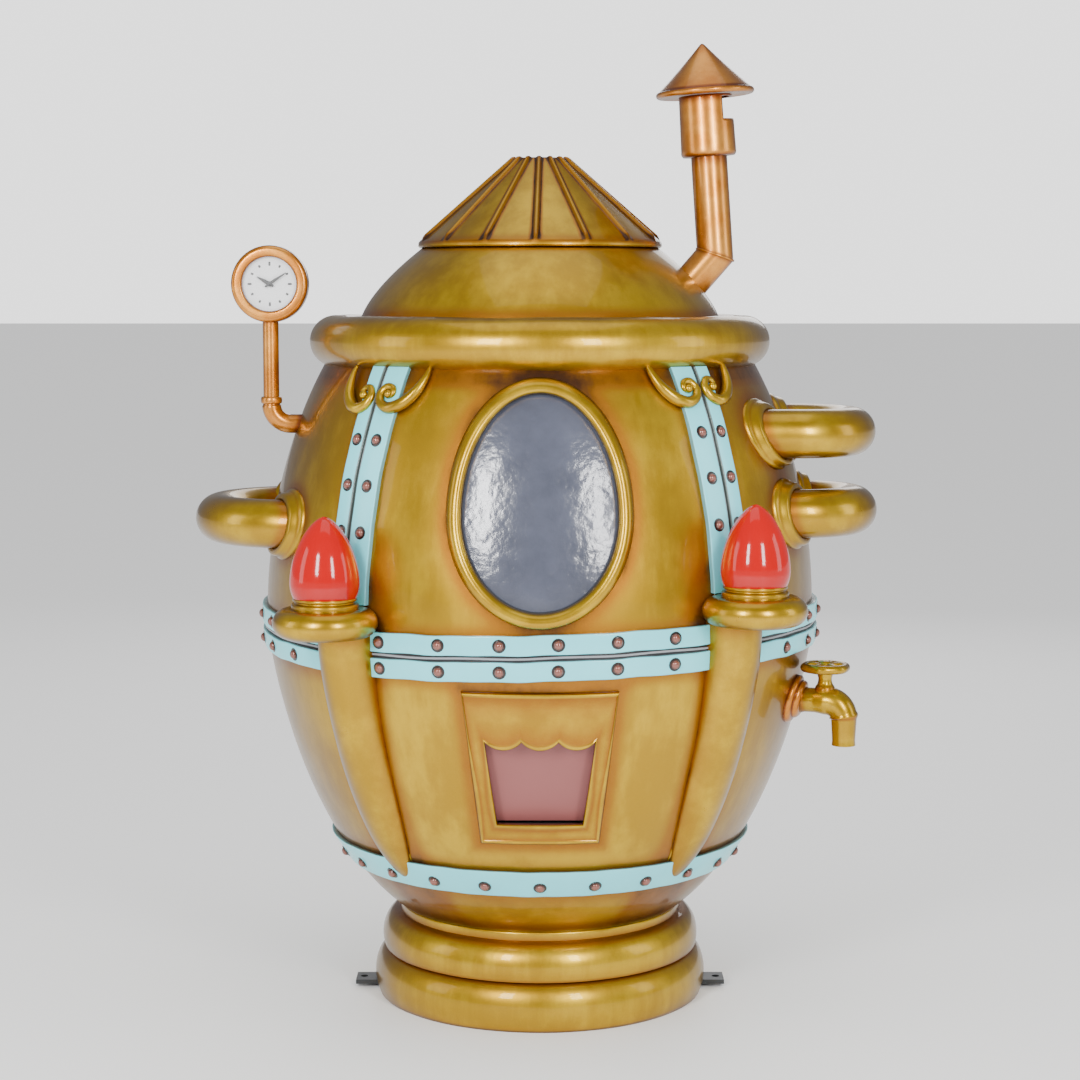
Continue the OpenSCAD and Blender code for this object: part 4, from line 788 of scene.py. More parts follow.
def build_strips(sizes):
    """Turquoise strips: two belts either side of the seam, one round the foot, and a pair up each side seam."""
    out = sizes.strip_proud / MM
    low, high = SEAM_Z - BELT_GAP / 2 - BELT_W, SEAM_Z + BELT_GAP / 2 + BELT_W
    spans = ((-35.2, 36.0), (44.3, 315.7))
    for name, z0, z1, node in (("belt_low", low, SEAM_Z - BELT_GAP / 2, "belt_strip_lower"),
                               ("belt_high", SEAM_Z + BELT_GAP / 2, high, "belt_strip_upper")):
        belt = Work()
        for az0, az1 in spans:
            belt.grid(*strip_run(az0, az1, z0, z1, out))
        make_piece(name, belt, "strip", replaces=(node,))
    foot = Work().grid(*strip_run(-180, 180, *FOOT_STRIP, out, lift=False))
    make_piece("foot_band", foot, "strip", replaces=("bottom_strip",))

    sides, fillers = Work(), Work()
    for sign in (-1, 1):
        z = np.linspace(LAMP_Z + sign * LAMP_RISE + SHELF_T / 2 + 1, 1139, 60)
        for from_mm, to_mm in ((3, 47), (-33, -3)):
            sides.grid(*upright_strip(sign, z, from_mm, to_mm, out))
        # The black filler's edges are painted grey: a painted highlight on the glossy seam.
        fillers.grid(*upright_strip(sign, z, -3.6, 3.6, 2.2))
        # Tone 1 paints the bead grey: a painted highlight along the black seam.
        fillers.grid(upright_bead(sign, z, 1.7, 3.0), 1.0)
    for az0, az1 in spans:
        # The filler belt's edges are painted grey: a painted highlight on the glossy seam.
        fillers.grid(*strip_run(az0, az1, SEAM_Z - 5.5, SEAM_Z + 5.5, 2.4))
        az = spread([az0, az1], 1.5)
        place = on_skin(az, SEAM_Z + belt_lift(az) + 0.8 * np.sin(np.radians(az) * 19), 3.2)
        up = skin_frame(az, np.full_like(az, SEAM_Z))
        # Tone 1 paints this bead grey: a painted highlight along the black seam.
        fillers.grid(capped(carried(place, up[:, 1], up[:, 2], circle(2.0, 10))), 1.0)
    make_piece("side_bands", sides, "strip", replaces=("side_strips",))
    make_piece("seam_filler", fillers, "seam")


def upright_strip(sign, z, from_mm, to_mm, out):
    """A slab with rounded edges that climbs the skin beside a side seam; distances run from the seam
    towards the window."""
    corners = [[from_mm + 0.5, -1.5], [from_mm, out], [to_mm, out], [to_mm - 0.5, -1.5]]
    profile = rounded(corners, [0.5, 2.6, 2.6, 0.5])
    wave = 0.5 * np.sin(z / 31 + sign) + 0.3 * np.sin(z / 13)
    across = profile[None, :, 0] + wave[:, None]
    az = sign * (SEAM_AZ - np.degrees(across / skin_r(z)[:, None]))
    edge = np.minimum(np.abs(profile[:, 0] - from_mm), np.abs(profile[:, 0] - to_mm))
    points = on_skin(az, z[:, None], profile[None, :, 1])
    # Darker at the edges and next to the seam: on the turquoise strips the edges are painted shade and the seam side
    # goes dark like the seam; on the black filler these marks are a painted grey highlight.
    seam = near(np.minimum(np.abs(profile[:, 0] - 3), np.abs(profile[:, 0] + 3)), 1.8, 1.6)
    tone = np.broadcast_to(np.clip(np.maximum(near(edge, 1.2, 0.7), seam), 0, 1), points.shape[:2])
    return capped(points), np.concatenate([tone[:1], tone, tone[-1:]])


def upright_bead(sign, z, r, out):
    """A thin round bead up a side seam."""
    az = np.full_like(z, sign * SEAM_AZ) + 0.09 * np.sin(z / 23)
    up = skin_frame(az, z)
    return capped(carried(on_skin(az, z, out), up[:, 0], up[:, 2], circle(r, 10)))


def rivet_heads(az, z, out, r, height):
    """A domed head on a dark washer at each place: part of a sphere above a low ring, set square to the skin."""
    a = np.radians(np.linspace(90, 8, 7))
    dome = np.stack([r * np.cos(a), height * np.sin(a)], -1)
    profile = np.concatenate([dome, [[r + 0.2, 0.9], [r + 2.6, 0.8], [r + 3.1, 0.1], [r + 2.8, -1.5]]])
    # Tone: the dome darkens towards its base, painted shade; the washer below it is dark all over.
    tone = np.concatenate([[0, 0, 0.05, 0.12, 0.25, 0.5, 0.9], [1, 1, 1, 1.0]])
    turns = np.linspace(0, 2 * math.pi, 17)
    local = lathe(profile, turns)
    frames = skin_frame(az, z)
    points = np.einsum("rck,nkj->nrcj", local, frames) + on_skin(az, z, out)[:, None, None]
    return points, np.broadcast_to(tone[None, :, None], points.shape[:3])


def build_rivets(sizes):
    """Rows of rivets along the belts and the foot strip, and three pairs up each side seam."""
    r, h, out = sizes.rivet_r / MM, sizes.rivet_h / MM, sizes.strip_proud / MM
    front = np.array([-32.0, -19.4, -7.6, 3.4, 14.6, 26.2])
    rear = 57.5 + 245 * np.arange(22) / 21
    belt = np.concatenate([front, rear])
    az = [belt, belt]
    z = [SEAM_Z + 21.5 + belt_lift(belt), SEAM_Z - 21.5 + belt_lift(belt)]
    foot = 15.0 * np.arange(24)
    foot = foot[np.abs(np.abs((foot + 180) % 360 - 180) - LAMP_AZ) > 4]
    az.append(foot)
    z.append(np.full_like(foot, FOOT_STRIP[0] + 19))
    for sign, shift in ((-1, -6.0), (1, 7.0)):
        for level in (1026.0, 952.0, 876.0):
            across = np.array([25.0, -18.0])
            az.append(sign * (SEAM_AZ - np.degrees(across / float(skin_r(level)))))
            z.append(np.full(2, level + shift))
    az, z = np.concatenate(az), np.concatenate(z)
    make_piece("rivets", Work().grid(*rivet_heads(az, z, out - 0.3, r, h)), "rivet",
               replaces=("strip_rivets",), crease=50)


SCROLL_PATH = [(62, 46, 3.0), (61, 30, 5.4), (54, 10, 8.0), (42, -6, 9.6), (25, -18, 10.4), (6, -22, 9.8),
               (-11, -15, 8.6), (-17, -1, 7.4), (-9, 11, 6.6), (3, 10, 6.0), (7, 2, 5.4), (2, -4, 4.6)]


def build_scrolls(sizes):
    """Horn-shaped scrolls under the brim: a tapered tube that runs down, round and into its own eye."""
    scrolls = Work()
    eyes = ((-44.6, 1092.0, -1, 0.82), (-36.9, 1095.0, 1, 1.0), (36.4, 1104.0, -1, 1.0), (44.3, 1106.0, 1, 0.82))
    for az0, z0, sign, reach in eyes:
        path = smooth_path(SCROLL_PATH, 90)
        across = path[:, 0] * sign * np.where(path[:, 0] > 0, reach, 1.0)
        z = np.minimum(z0 + path[:, 1], 1141)
        az = az0 + np.degrees(across / skin_r(z))
        frames = skin_frame(az, z)
        place = on_skin(az, z, 6.5 + 0.55 * path[:, 2])
        along = np.gradient(place, axis=0)
        along /= np.linalg.norm(along, axis=1)[:, None]
        side = np.cross(along, frames[:, 2])
        tube = carried(place, side, frames[:, 2], circle(1.0, 20), path[:, 2])
        # Painted shade on the side of the tube that faces the skin.
        tone = near(np.abs(circle(1.0, 20)[:, 1] + 0.75), 0.5, 0.8)
        scrolls.grid(capped(tube), np.broadcast_to(tone, (tube.shape[0] + 2, tube.shape[1])))
        a = np.radians(np.linspace(-90, 90, 13))
        ball = np.stack([7.6 * np.cos(a), 7.6 * np.sin(a)], -1)
        turns = np.linspace(0, 2 * math.pi, 25)
        local = lathe(ball, turns)
        frame_eye = skin_frame(np.array([az0]), np.array([z0]))[0]
        scrolls.grid(local @ frame_eye + on_skin(az0, z0, 12.5), 0.1)
    make_piece("scrolls", scrolls, "gold_fittings", replaces=("scroll_ornaments",), crease=60)


# ---- window and hatch ----
def build_window(sizes):
    """An egg-shaped rim carried round the window's outline, with its seal and a smoked pane behind it."""
    outline = egg_outline(12.0)
    normal = outline_normals(outline)
    width, proud = sizes.window_rim / MM / 2, sizes.window_rim_proud / MM
    a = np.radians(np.linspace(0, 180, 17))
    dome = np.stack([width * np.cos(a), proud * np.sin(a) ** 0.8], -1)
    profile = np.concatenate([[[width + 0.2, -1.5]], dome, [[-width, -5.5], [width, -5.5], [width + 0.2, -1.5]]])
    across = outline[:, None] + profile[None, :, :1] * normal[:, None]
    points = on_front(across[..., 0], across[..., 1], profile[None, :, 1])
    # Patina and painted shade where the rim meets the skin.
    tone = near(np.abs(profile[:, 1] + 0.5), 4.0, 0.75)
    rim = Work().grid(points, np.broadcast_to(tone, points.shape[:2]))
    make_piece("window_rim", rim, "gold_fittings", replaces=("window_bezel",), crease=50)

    outline = egg_outline(24.0)
    normal = outline_normals(outline)
    profile = rounded([[-2.4, -8], [-2.4, 2.2], [4, 2.2], [4, -8]], 1.0)
    across = outline[:, None] + profile[None, :, :1] * normal[:, None]
    seal = Work().grid(on_front(across[..., 0], across[..., 1], profile[None, :, 1] - 1.0), 0.0)
    make_piece("window_seal", seal, "black", replaces=("window_gasket",))

    rings = np.linspace(0, 1, 30)[:, None]
    edge = egg_outline(7.0)
    x, z = edge[None, :, 0] * rings, WINDOW_Z + (edge[None, :, 1] - WINDOW_Z) * rings
    belly = 3.0 * (1 - rings ** 2)
    front = on_front(x, z, -6.0 + belly * 0.5 + 0 * x)
    back = on_front(x, z, -10.0 + belly * 0.5 + 0 * x)[::-1]
    make_piece("window_sheet", Work().grid(np.concatenate([front, back])), "smoke",
               replaces=("window_pane",), crease=50)


def hatch_outlines(count=48):
    """Matching points round the hatch's scalloped opening and its surround's edge, anticlockwise from the
    lower left corner."""
    t = np.linspace(0, 1, count + 1)[:-1]
    inner_corners = np.array([[-70.0, 392], [70, 391.5], [90, 537], [-90, 537]])
    outer_corners = np.array([[-SURROUND_LOW_HALF, SURROUND_LOW_Z], [SURROUND_LOW_HALF, SURROUND_LOW_Z],
                              [SURROUND_TOP_HALF, SURROUND_TOP_Z], [-SURROUND_TOP_HALF, SURROUND_TOP_Z]])
    inner = np.concatenate([a + (b - a) * t[:, None] for a, b in zip(inner_corners, np.roll(inner_corners, -1, 0))])
    outer = np.concatenate([a + (b - a) * t[:, None] for a, b in zip(outer_corners, np.roll(outer_corners, -1, 0))])
    top = slice(2 * count, 3 * count)
    x = inner[top, 0]
    scallop = np.max([np.sqrt(np.clip(39.0 ** 2 - (x - c) ** 2, 0, None)) for c in (-60, 0, 60)], 0)
    inner[top, 1] = 563 - scallop
    return np.concatenate([inner, inner[:1]]), np.concatenate([outer, outer[:1]])


def build_hatch(sizes):
    """The hatch's surround: distances across it rise over a rounded inner lip to a flat face and a raised
    outer bead."""
    proud = sizes.hatch_proud / MM
    inner, outer = hatch_outlines()
    span = np.linalg.norm(outer - inner, axis=1)
    direction = (outer - inner) / span[:, None]
    near_lip = np.array([[0, -7], [0, proud - 3.5], [0.6, proud - 1.2], [2.0, proud + 0.3], [4.5, proud + 0.6],
                         [8, proud - 0.6], [11, proud - 1.4]])
    near_edge = np.array([[9.5, proud - 1.6], [7.5, proud - 0.2], [5.0, proud + 0.9], [2.6, proud + 0.2],
                          [1.0, proud - 2.5], [0.2, proud - 6], [-0.6, -1.5]])
    d = np.concatenate([np.broadcast_to(near_lip[:, 0], (len(span), 7)),
                        11 + (span[:, None] - 20.5) * np.array([0.25, 0.5, 0.75]),
                        span[:, None] - near_edge[:, 0]], 1)
    out = np.concatenate([near_lip[:, 1], [proud - 1.8, proud - 2.0, proud - 1.8], near_edge[:, 1]])
    across = inner[:, None] + direction[:, None] * d[..., None]
    points = on_front(across[..., 0], across[..., 1], out[None])
    # Tone across the surround: darker down the opening's wall and at the foot on the skin, patina and painted shade;
    # the lip's and bead's tops lighter than their flanks, painted shade; patina on the flat face.
    tone = np.array([0.95, 0.6, 0.2, 0.1, 0.15, 0.5, 0.62, 0.42, 0.3, 0.45, 0.68, 0.3, 0.1, 0.3, 0.75, 0.95, 1.0])
    back = on_front(np.stack([outer[:, 0], inner[:, 0]], 1), np.stack([outer[:, 1], inner[:, 1]], 1),
                    np.array([[-1.5, -7.0]]))
    points = np.concatenate([points, back[:, 1:]], 1)
    tone = np.concatenate([tone, [1.0]])
    make_piece("hatch_surround", Work().grid(points, np.broadcast_to(tone, points.shape[:2])), "gold_fittings",
               replaces=("hatch_frame",), crease=38)


# ---- columns and lamps ----
def build_columns(sizes):
    """Tusk-shaped columns: half ellipses stacked up the skin, nearly as wide all the way and closing fast
    to a low tip."""
    for name, sign, node in (("column_l", -1, "column_left"), ("column_r", 1, "column_right")):
        top = LAMP_Z + sign * LAMP_RISE - SHELF_T / 2 + 4
        tip = (1 - np.cos(np.linspace(0, math.pi / 2, 16))[:-1]) * 0.12
        t = np.concatenate([tip, np.linspace(0.12, 1, 70)])
        z = COLUMN_LOW_Z + (top - COLUMN_LOW_Z) * t
        width = sizes.column_width / MM / 2 * np.sqrt(1 - (1 - np.clip(t / 0.5, 0, 1)) ** 2)
        proud = (22 + 40 * t ** 1.15) * np.sqrt(1 - (1 - np.clip(t / 0.2, 0, 1)) ** 2)
        a = np.radians(np.linspace(-14, 194, 33))
        across = width[:, None] * np.cos(a)[None]
        out = proud[:, None] * np.sin(a)[None]
        out = np.where(out < 0, -2.0, out)
        centre_az = sign * (40.5 - 1.1 * t)
        az = centre_az[:, None] + np.degrees(across / skin_r(z)[:, None])
        points = on_skin(az, z[:, None], out)
        points = np.concatenate([points, points[:, :1]], 1)
        # Patina and painted shade where the column meets the skin; painted shade on its outer halves, so that it
        # reads round, and at its top under the lamp shelf.
        tone = np.maximum(near(np.maximum(out - 1, 0), 8, 0.85),
                          near(out, 34, 0.42) * (np.abs(across) > 0.5 * width[:, None]))
        tone = np.concatenate([tone, tone[:, :1]], 1)
        tone = np.maximum(tone, near((1 - t) * 450, 26, 0.6)[:, None])
        grid = capped(points)
        tone = np.concatenate([tone[:1], tone, tone[-1:]])
        make_piece(name, Work().grid(grid, tone), "gold_fittings", replaces=(node,), crease=60)


def build_lamps(sizes):
    """Each lamp: a fat turned shelf seated against the skin, two stepped rings, and an egg of red plastic."""
    lamp_r, lamp_h = sizes.lamp_r / MM, sizes.lamp_h / MM
    rings = Work()
    for sign, side in ((-1, "l"), (1, "r")):
        x, y, _ = turn(sign * LAMP_AZ, LAMP_PATH_R, 0)
        level = LAMP_Z + sign * LAMP_RISE
        round_edge = half_round(25, 26, -90, 90, (61, 0)) * [1, 0.96]
        profile = np.concatenate([[[0, -24]], round_edge, [[52, 23.4], [46, 21.5], [0, 21.5]]]) + [0, level]
        shelf = under_skin(turned(profile, 120, (x, y)), 2.0)
        r = np.hypot(shelf[..., 0], shelf[..., 1])
        # Patina and painted shade where the shelf meets the skin and round the rings' foot on top.
        tone = near(r - skin_r(shelf[..., 2]), 12, 0.85)
        tone = np.maximum(tone, near(np.abs(np.hypot(shelf[..., 0] - x, shelf[..., 1] - y) - 50), 7, 0.55)
                          * (shelf[..., 2] > level))
        make_piece("shelf_" + side, Work().grid(shelf, tone), "gold_fittings",
                   replaces=("lamp_shelf_left" if sign < 0 else "lamp_shelf_right",), crease=60)
        base = level + SHELF_T / 2
        low = rounded([[0, -3], [55, -3], [55, 7.5], [49, 9], [49, 12], [52.5, 12.5], [52.5, COLLAR_H + 1.5],
                       [0, COLLAR_H + 1.5]], [0, 2, 3, 2, 2, 1.5, 2, 0], closed=True)
        rings.grid(turned(low + [0, base], 96, (x, y)), 0.25)
        t = np.linspace(0, 1, 60)
        t = np.concatenate([t[:-1], 1 - 0.012 * np.linspace(1, 0, 7)[1:] ** 2])
        egg = np.where(t < 0.19, 1 - 0.1 * (1 - t / 0.19) ** 2,
                       np.clip(1 - (np.clip(t - 0.19, 0, 0.81) / 0.81) ** 1.8, 0, 1) ** 0.64)
        shell = np.stack([lamp_r * egg, base + COLLAR_H + lamp_h * t], -1)
        inside = np.stack([(lamp_r - 3) * egg, base + COLLAR_H + (lamp_h - 5) * t], -1)[::-1]
        flute = turned(np.concatenate([shell, inside, shell[:1]]), 120, (x, y))
        make_piece("lamp_" + side, Work().grid(flute), "lamp",
                   replaces=("lamp_dome_left" if sign < 0 else "lamp_dome_right",), crease=50)
    make_piece("lamp_rings", rings, "gold_fittings", replaces=("lamp_collars",), crease=40)


# ---- pipe loops ----
def seat_x(sign, y, z, out=0.0):
    """Where a line across, at a depth and a height, meets the skin moved out by a distance."""
    return sign * np.sqrt(np.clip((skin_r(z) + out) ** 2 - y * y, 1, None))


def build_loops(sizes):
    """Fat U-shaped pipes: a circle carried along two straight legs and a half turn, each leg's end cut to
    the skin."""
    tube = sizes.loop_tube / MM
    collars = Work()
    for name, (sign, level, bend, reach) in LOOPS.items():
        mid_x, mid_y = reach - tube - bend, bend - LOOP_FRONT
        a = np.linspace(0, math.pi, 61)
        section = np.linspace(0, 2 * math.pi, 49)
        ring_side, ring_up = tube * np.cos(section), tube * np.sin(section)
        arc_r = bend + ring_side[None]
        arc = np.stack(np.broadcast_arrays(sign * (mid_x + arc_r * np.sin(a)[:, None]),
                                           mid_y - arc_r * np.cos(a)[:, None], level + ring_up[None]), -1)
        legs = []
        for end, towards in ((arc[0], 1), (arc[-1], -1)):
            start = end.copy()
            start[:, 0] = seat_x(sign, end[:, 1], end[:, 2], -2.0)
            t = np.linspace(0, 1, 10)[:, None, None]
            leg = start + (end - start) * t
            legs.append(leg if towards == 1 else leg[::-1])
        pipe = np.concatenate([legs[0][:-1], arc, legs[1][1:]])
        # Patina and painted shade near the skin; painted shade on the inside of the bend.
        seat_gap = np.abs(pipe[..., 0]) - np.abs(seat_x(sign, pipe[..., 1], pipe[..., 2], 20))
        inner = near(np.abs(section - math.pi), 0.9, 0.35)[None] * np.ones((len(pipe), 1))
        tone = np.maximum(near(seat_gap, 14, 0.7), inner)
        make_piece("loop_" + name, Work().grid(pipe, tone), "gold_fittings",
                   replaces=("pipe_loop_" + name,), crease=60)
        profile = rounded([[tube - 1.5, -2], [tube + 19, -2], [tube + 19, 5.5], [tube + 14.5, 9], [tube + 12.5, 16],
                           [tube + 10.5, 21.5], [tube + 2.5, 22.5], [tube - 1.5, 17]],
                          [0.5, 1, 3.2, 3, 4, 4, 3, 2], 5)
        for leg in (mid_y - bend, mid_y + bend):
            y = leg + profile[:, None, 0] * np.cos(section)[None]
            z = level + profile[:, None, 0] * np.sin(section)[None]
            x = seat_x(sign, y, z, 0) + sign * profile[:, None, 1]
            ring = np.stack([x, y, z], -1)
            # Patina and painted shade at the collar's foot on the skin and in its groove.
            tone = near(np.maximum(profile[:, 1], 0), 2.5, 0.8) + near(np.abs(profile[:, 1] - 9), 2.2, 0.4)
            collars.grid(ring, np.broadcast_to(np.clip(tone, 0, 1)[:, None], ring.shape[:2]))
    make_piece("loop_rings", collars, "gold_fittings", replaces=("loop_collars",), crease=45)


# ---- tap ----
def at_tap(points):
    """Local across, outward and up distances laid out from the tap's middle on the skin."""
    a = math.radians(TAP_AZ)
    origin = turn(TAP_AZ, float(skin_r(TAP_Z)), TAP_Z)
    return placed(points, origin, (math.cos(a), math.sin(a), 0), (math.sin(a), -math.cos(a), 0), (0, 0, 1))


def build_tap(sizes):
    """A garden tap: stepped rose on the skin, a barrel that bends down into a spout, a flared bonnet, and
    a pierced handwheel."""
    turns = np.linspace(0, 2 * math.pi, 65)
    rose = Work()
    profile = rounded([[TAP_R - 1, -4], [42, -4], [42, 6], [38, 10], [33, 11], [33, 15], [30, 19], [26, 21],
                       [TAP_R - 1, 21]], [0.5, 1, 4, 3, 1.5, 3, 4, 3, 1], 5)
    local = np.stack(np.broadcast_arrays(profile[:, :1] * np.cos(turns), profile[:, 1:] + 0 * turns,
                                         profile[:, :1] * np.sin(turns)), -1)
    sag = float(skin_r(TAP_Z)) - np.sqrt(np.clip(skin_r(TAP_Z + local[..., 2]) ** 2 - local[..., 0] ** 2, 1, None))
    local = local - np.stack([0 * sag, sag, 0 * sag], -1)
    # Patina and painted shade at the rose's foot on the skin and at its step.
    tone = np.broadcast_to((near(np.maximum(profile[:, 1], 0), 3, 0.9)
                            + near(np.abs(profile[:, 1] - 11.5), 1.6, 0.7))[:, None], local.shape[:2])
    rose.grid(at_tap(local), np.clip(tone, 0, 1))
    make_piece("tap_rose", rose, "copper", replaces=("tap_flange",), crease=45)

    body = Work()
    bend_a = np.linspace(0, math.pi / 2, 24)
    straight = np.linspace(-3, TAP_OUT, 30)[:-1]
    path_out = np.concatenate([straight, TAP_OUT + TAP_BEND * np.sin(bend_a), np.full(16, TAP_OUT + TAP_BEND)])
    path_up = np.concatenate([0 * straight, -TAP_BEND + TAP_BEND * np.cos(bend_a),
                              -TAP_BEND - np.linspace(0, SPOUT_LEN, 17)[1:]])
    travel = np.concatenate([[0], np.cumsum(np.hypot(np.diff(path_out), np.diff(path_up)))])
    r = np.interp(travel, [0, 14, 26, 44, 62, 80, 104, 106.5, 108.5, 111, 124, 150, 158],
                  [25, 25, 21.5, 21.5, 24.5, 24.5, 23.5, 25.3, 25.3, 22.3, 21.5, 20.0, 20.6])
    path = np.stack([0 * path_out, path_out, path_up], -1)
    side = flat_frames(path, np.array([1.0, 0, 0]))
    section = circle(1.0, 48)
    barrel = carried(path, np.array([1.0, 0, 0]), side, section, r)
    bore = carried(path[-1:] + np.array([[0, 0, 0.0], [0, 0, 0], [0, 0, 26]]), np.array([1.0, 0, 0]),
                   side[-1:].repeat(3, 0), section, np.array([17.0, 16.5, 16.5]))
    closing = np.repeat(bore[-1:].mean(1, keepdims=True), bore.shape[1], 1)
    start = np.repeat(barrel[:1].mean(1, keepdims=True), barrel.shape[1], 1)
    whole = np.concatenate([start, barrel, bore, closing])
    # Patina and painted shade at the barrel's joints, where it leaves the rose and inside the spout's bore.
    tone = np.concatenate([[0.6], near(np.abs(travel - 26), 10, 0.25) + near(np.abs(travel - 110), 3, 0.7)
                           + near(travel - 22, 6, 0.6), [0.6, 0.9, 1, 1]])
    body.grid(at_tap(whole), np.broadcast_to(np.clip(tone, 0, 1)[:, None], whole.shape[:2]))
    centre_out = TAP_OUT - 4
    neck = rounded([[0, 6], [19, 8], [17.5, 24], [12.5, 30], [11.5, 40], [13.5, 45], [13.5, 49], [0, 49]],
                   [0, 3, 5, 5, 4, 3, 2, 0])
    local = lathe(neck, turns, centre_out)
    # Patina and painted shade part way up the bonnet.
    tone = near(np.abs(neck[:, 1] - 22), 6, 0.6)
    body.grid(at_tap(local), np.broadcast_to(tone[:, None], local.shape[:2]))
    make_piece("tap_barrel", body, "gold_fittings", replaces=("tap_body",), crease=50)

    wheel = Work()
    base = TAP_R + 26 + 0.3
    section = circle(8.0, 24) * [1.0, 0.95]
    a = np.linspace(0, 2 * math.pi, 73)
    ripple = 35 + 0.9 * np.cos(6 * a)
    rim = np.stack(np.broadcast_arrays((ripple[:, None] + section[None, :, 0]) * np.cos(a)[:, None],
                                       centre_out + (ripple[:, None] + section[None, :, 0]) * np.sin(a)[:, None],
                                       base + 9 + section[None, :, 1]), -1)
    # Patina and painted shade on the rim's inner side.
    wheel.grid(at_tap(rim), np.broadcast_to(near(np.abs(section[:, 0] + 6), 4, 0.5), rim.shape[:2]))
    hub = rounded([[0, 1], [13, 1], [13, 13], [10, 19], [5, 21], [0, 21]], [0, 2, 4, 4, 3, 0])
    local = lathe(hub + [0, base], turns, centre_out)
    wheel.grid(at_tap(local), 0.1)
    reach = np.linspace(9, 34, 16)
    rise = base + 11 + 4.0 * np.sin((reach - 9) / 25 * math.pi)
    for spoke in np.arange(6) * math.pi / 3 + 0.3:
        path = np.stack([reach * math.cos(spoke), centre_out + reach * math.sin(spoke), rise], -1)
        profile = circle(1.0, 16) * [4.2, 3.0]
        width = 1 + 0.55 * ((reach - 22) / 12) ** 2
        wheel.grid(at_tap(capped(carried(path, np.array([-math.sin(spoke), math.cos(spoke), 0]),
                                         np.array([0, 0, 1.0]), profile, width))), 0.25)
    spindle = np.array([[0, 19.5], [6, 19.5], [6, base + 4], [0, base + 4]])
    local = lathe(spindle, turns, centre_out)
    # The spindle is darker: patina and painted shade.
    wheel.grid(at_tap(local), 0.5)
    make_piece("tap_wheel", wheel, "gold_fittings", body="handwheel", replaces=("tap_handwheel",),
               crease=60)


# ---- clock ----
CLOCK_AT = turn(CLOCK_AZ, CLOCK_PATH_R, CLOCK_Z)
CLOCK_FACE_Y = CLOCK_AT[1] - CLOCK_DEPTH / 2


def at_clock(points):
    """Local across, up and forward distances laid out from the middle of the clock's front face."""
    return placed(points, (CLOCK_AT[0], CLOCK_FACE_Y, CLOCK_AT[2]), (1, 0, 0), (0, 0, 1), (0, -1, 0))


def clock_turned(profile, count=96):
    """A profile of radii and forward distances turned about the clock's axis."""
    profile = np.asarray(profile, float)
    a = np.linspace(0, 2 * math.pi, count + 1)
    return at_clock(lathe(profile, a))


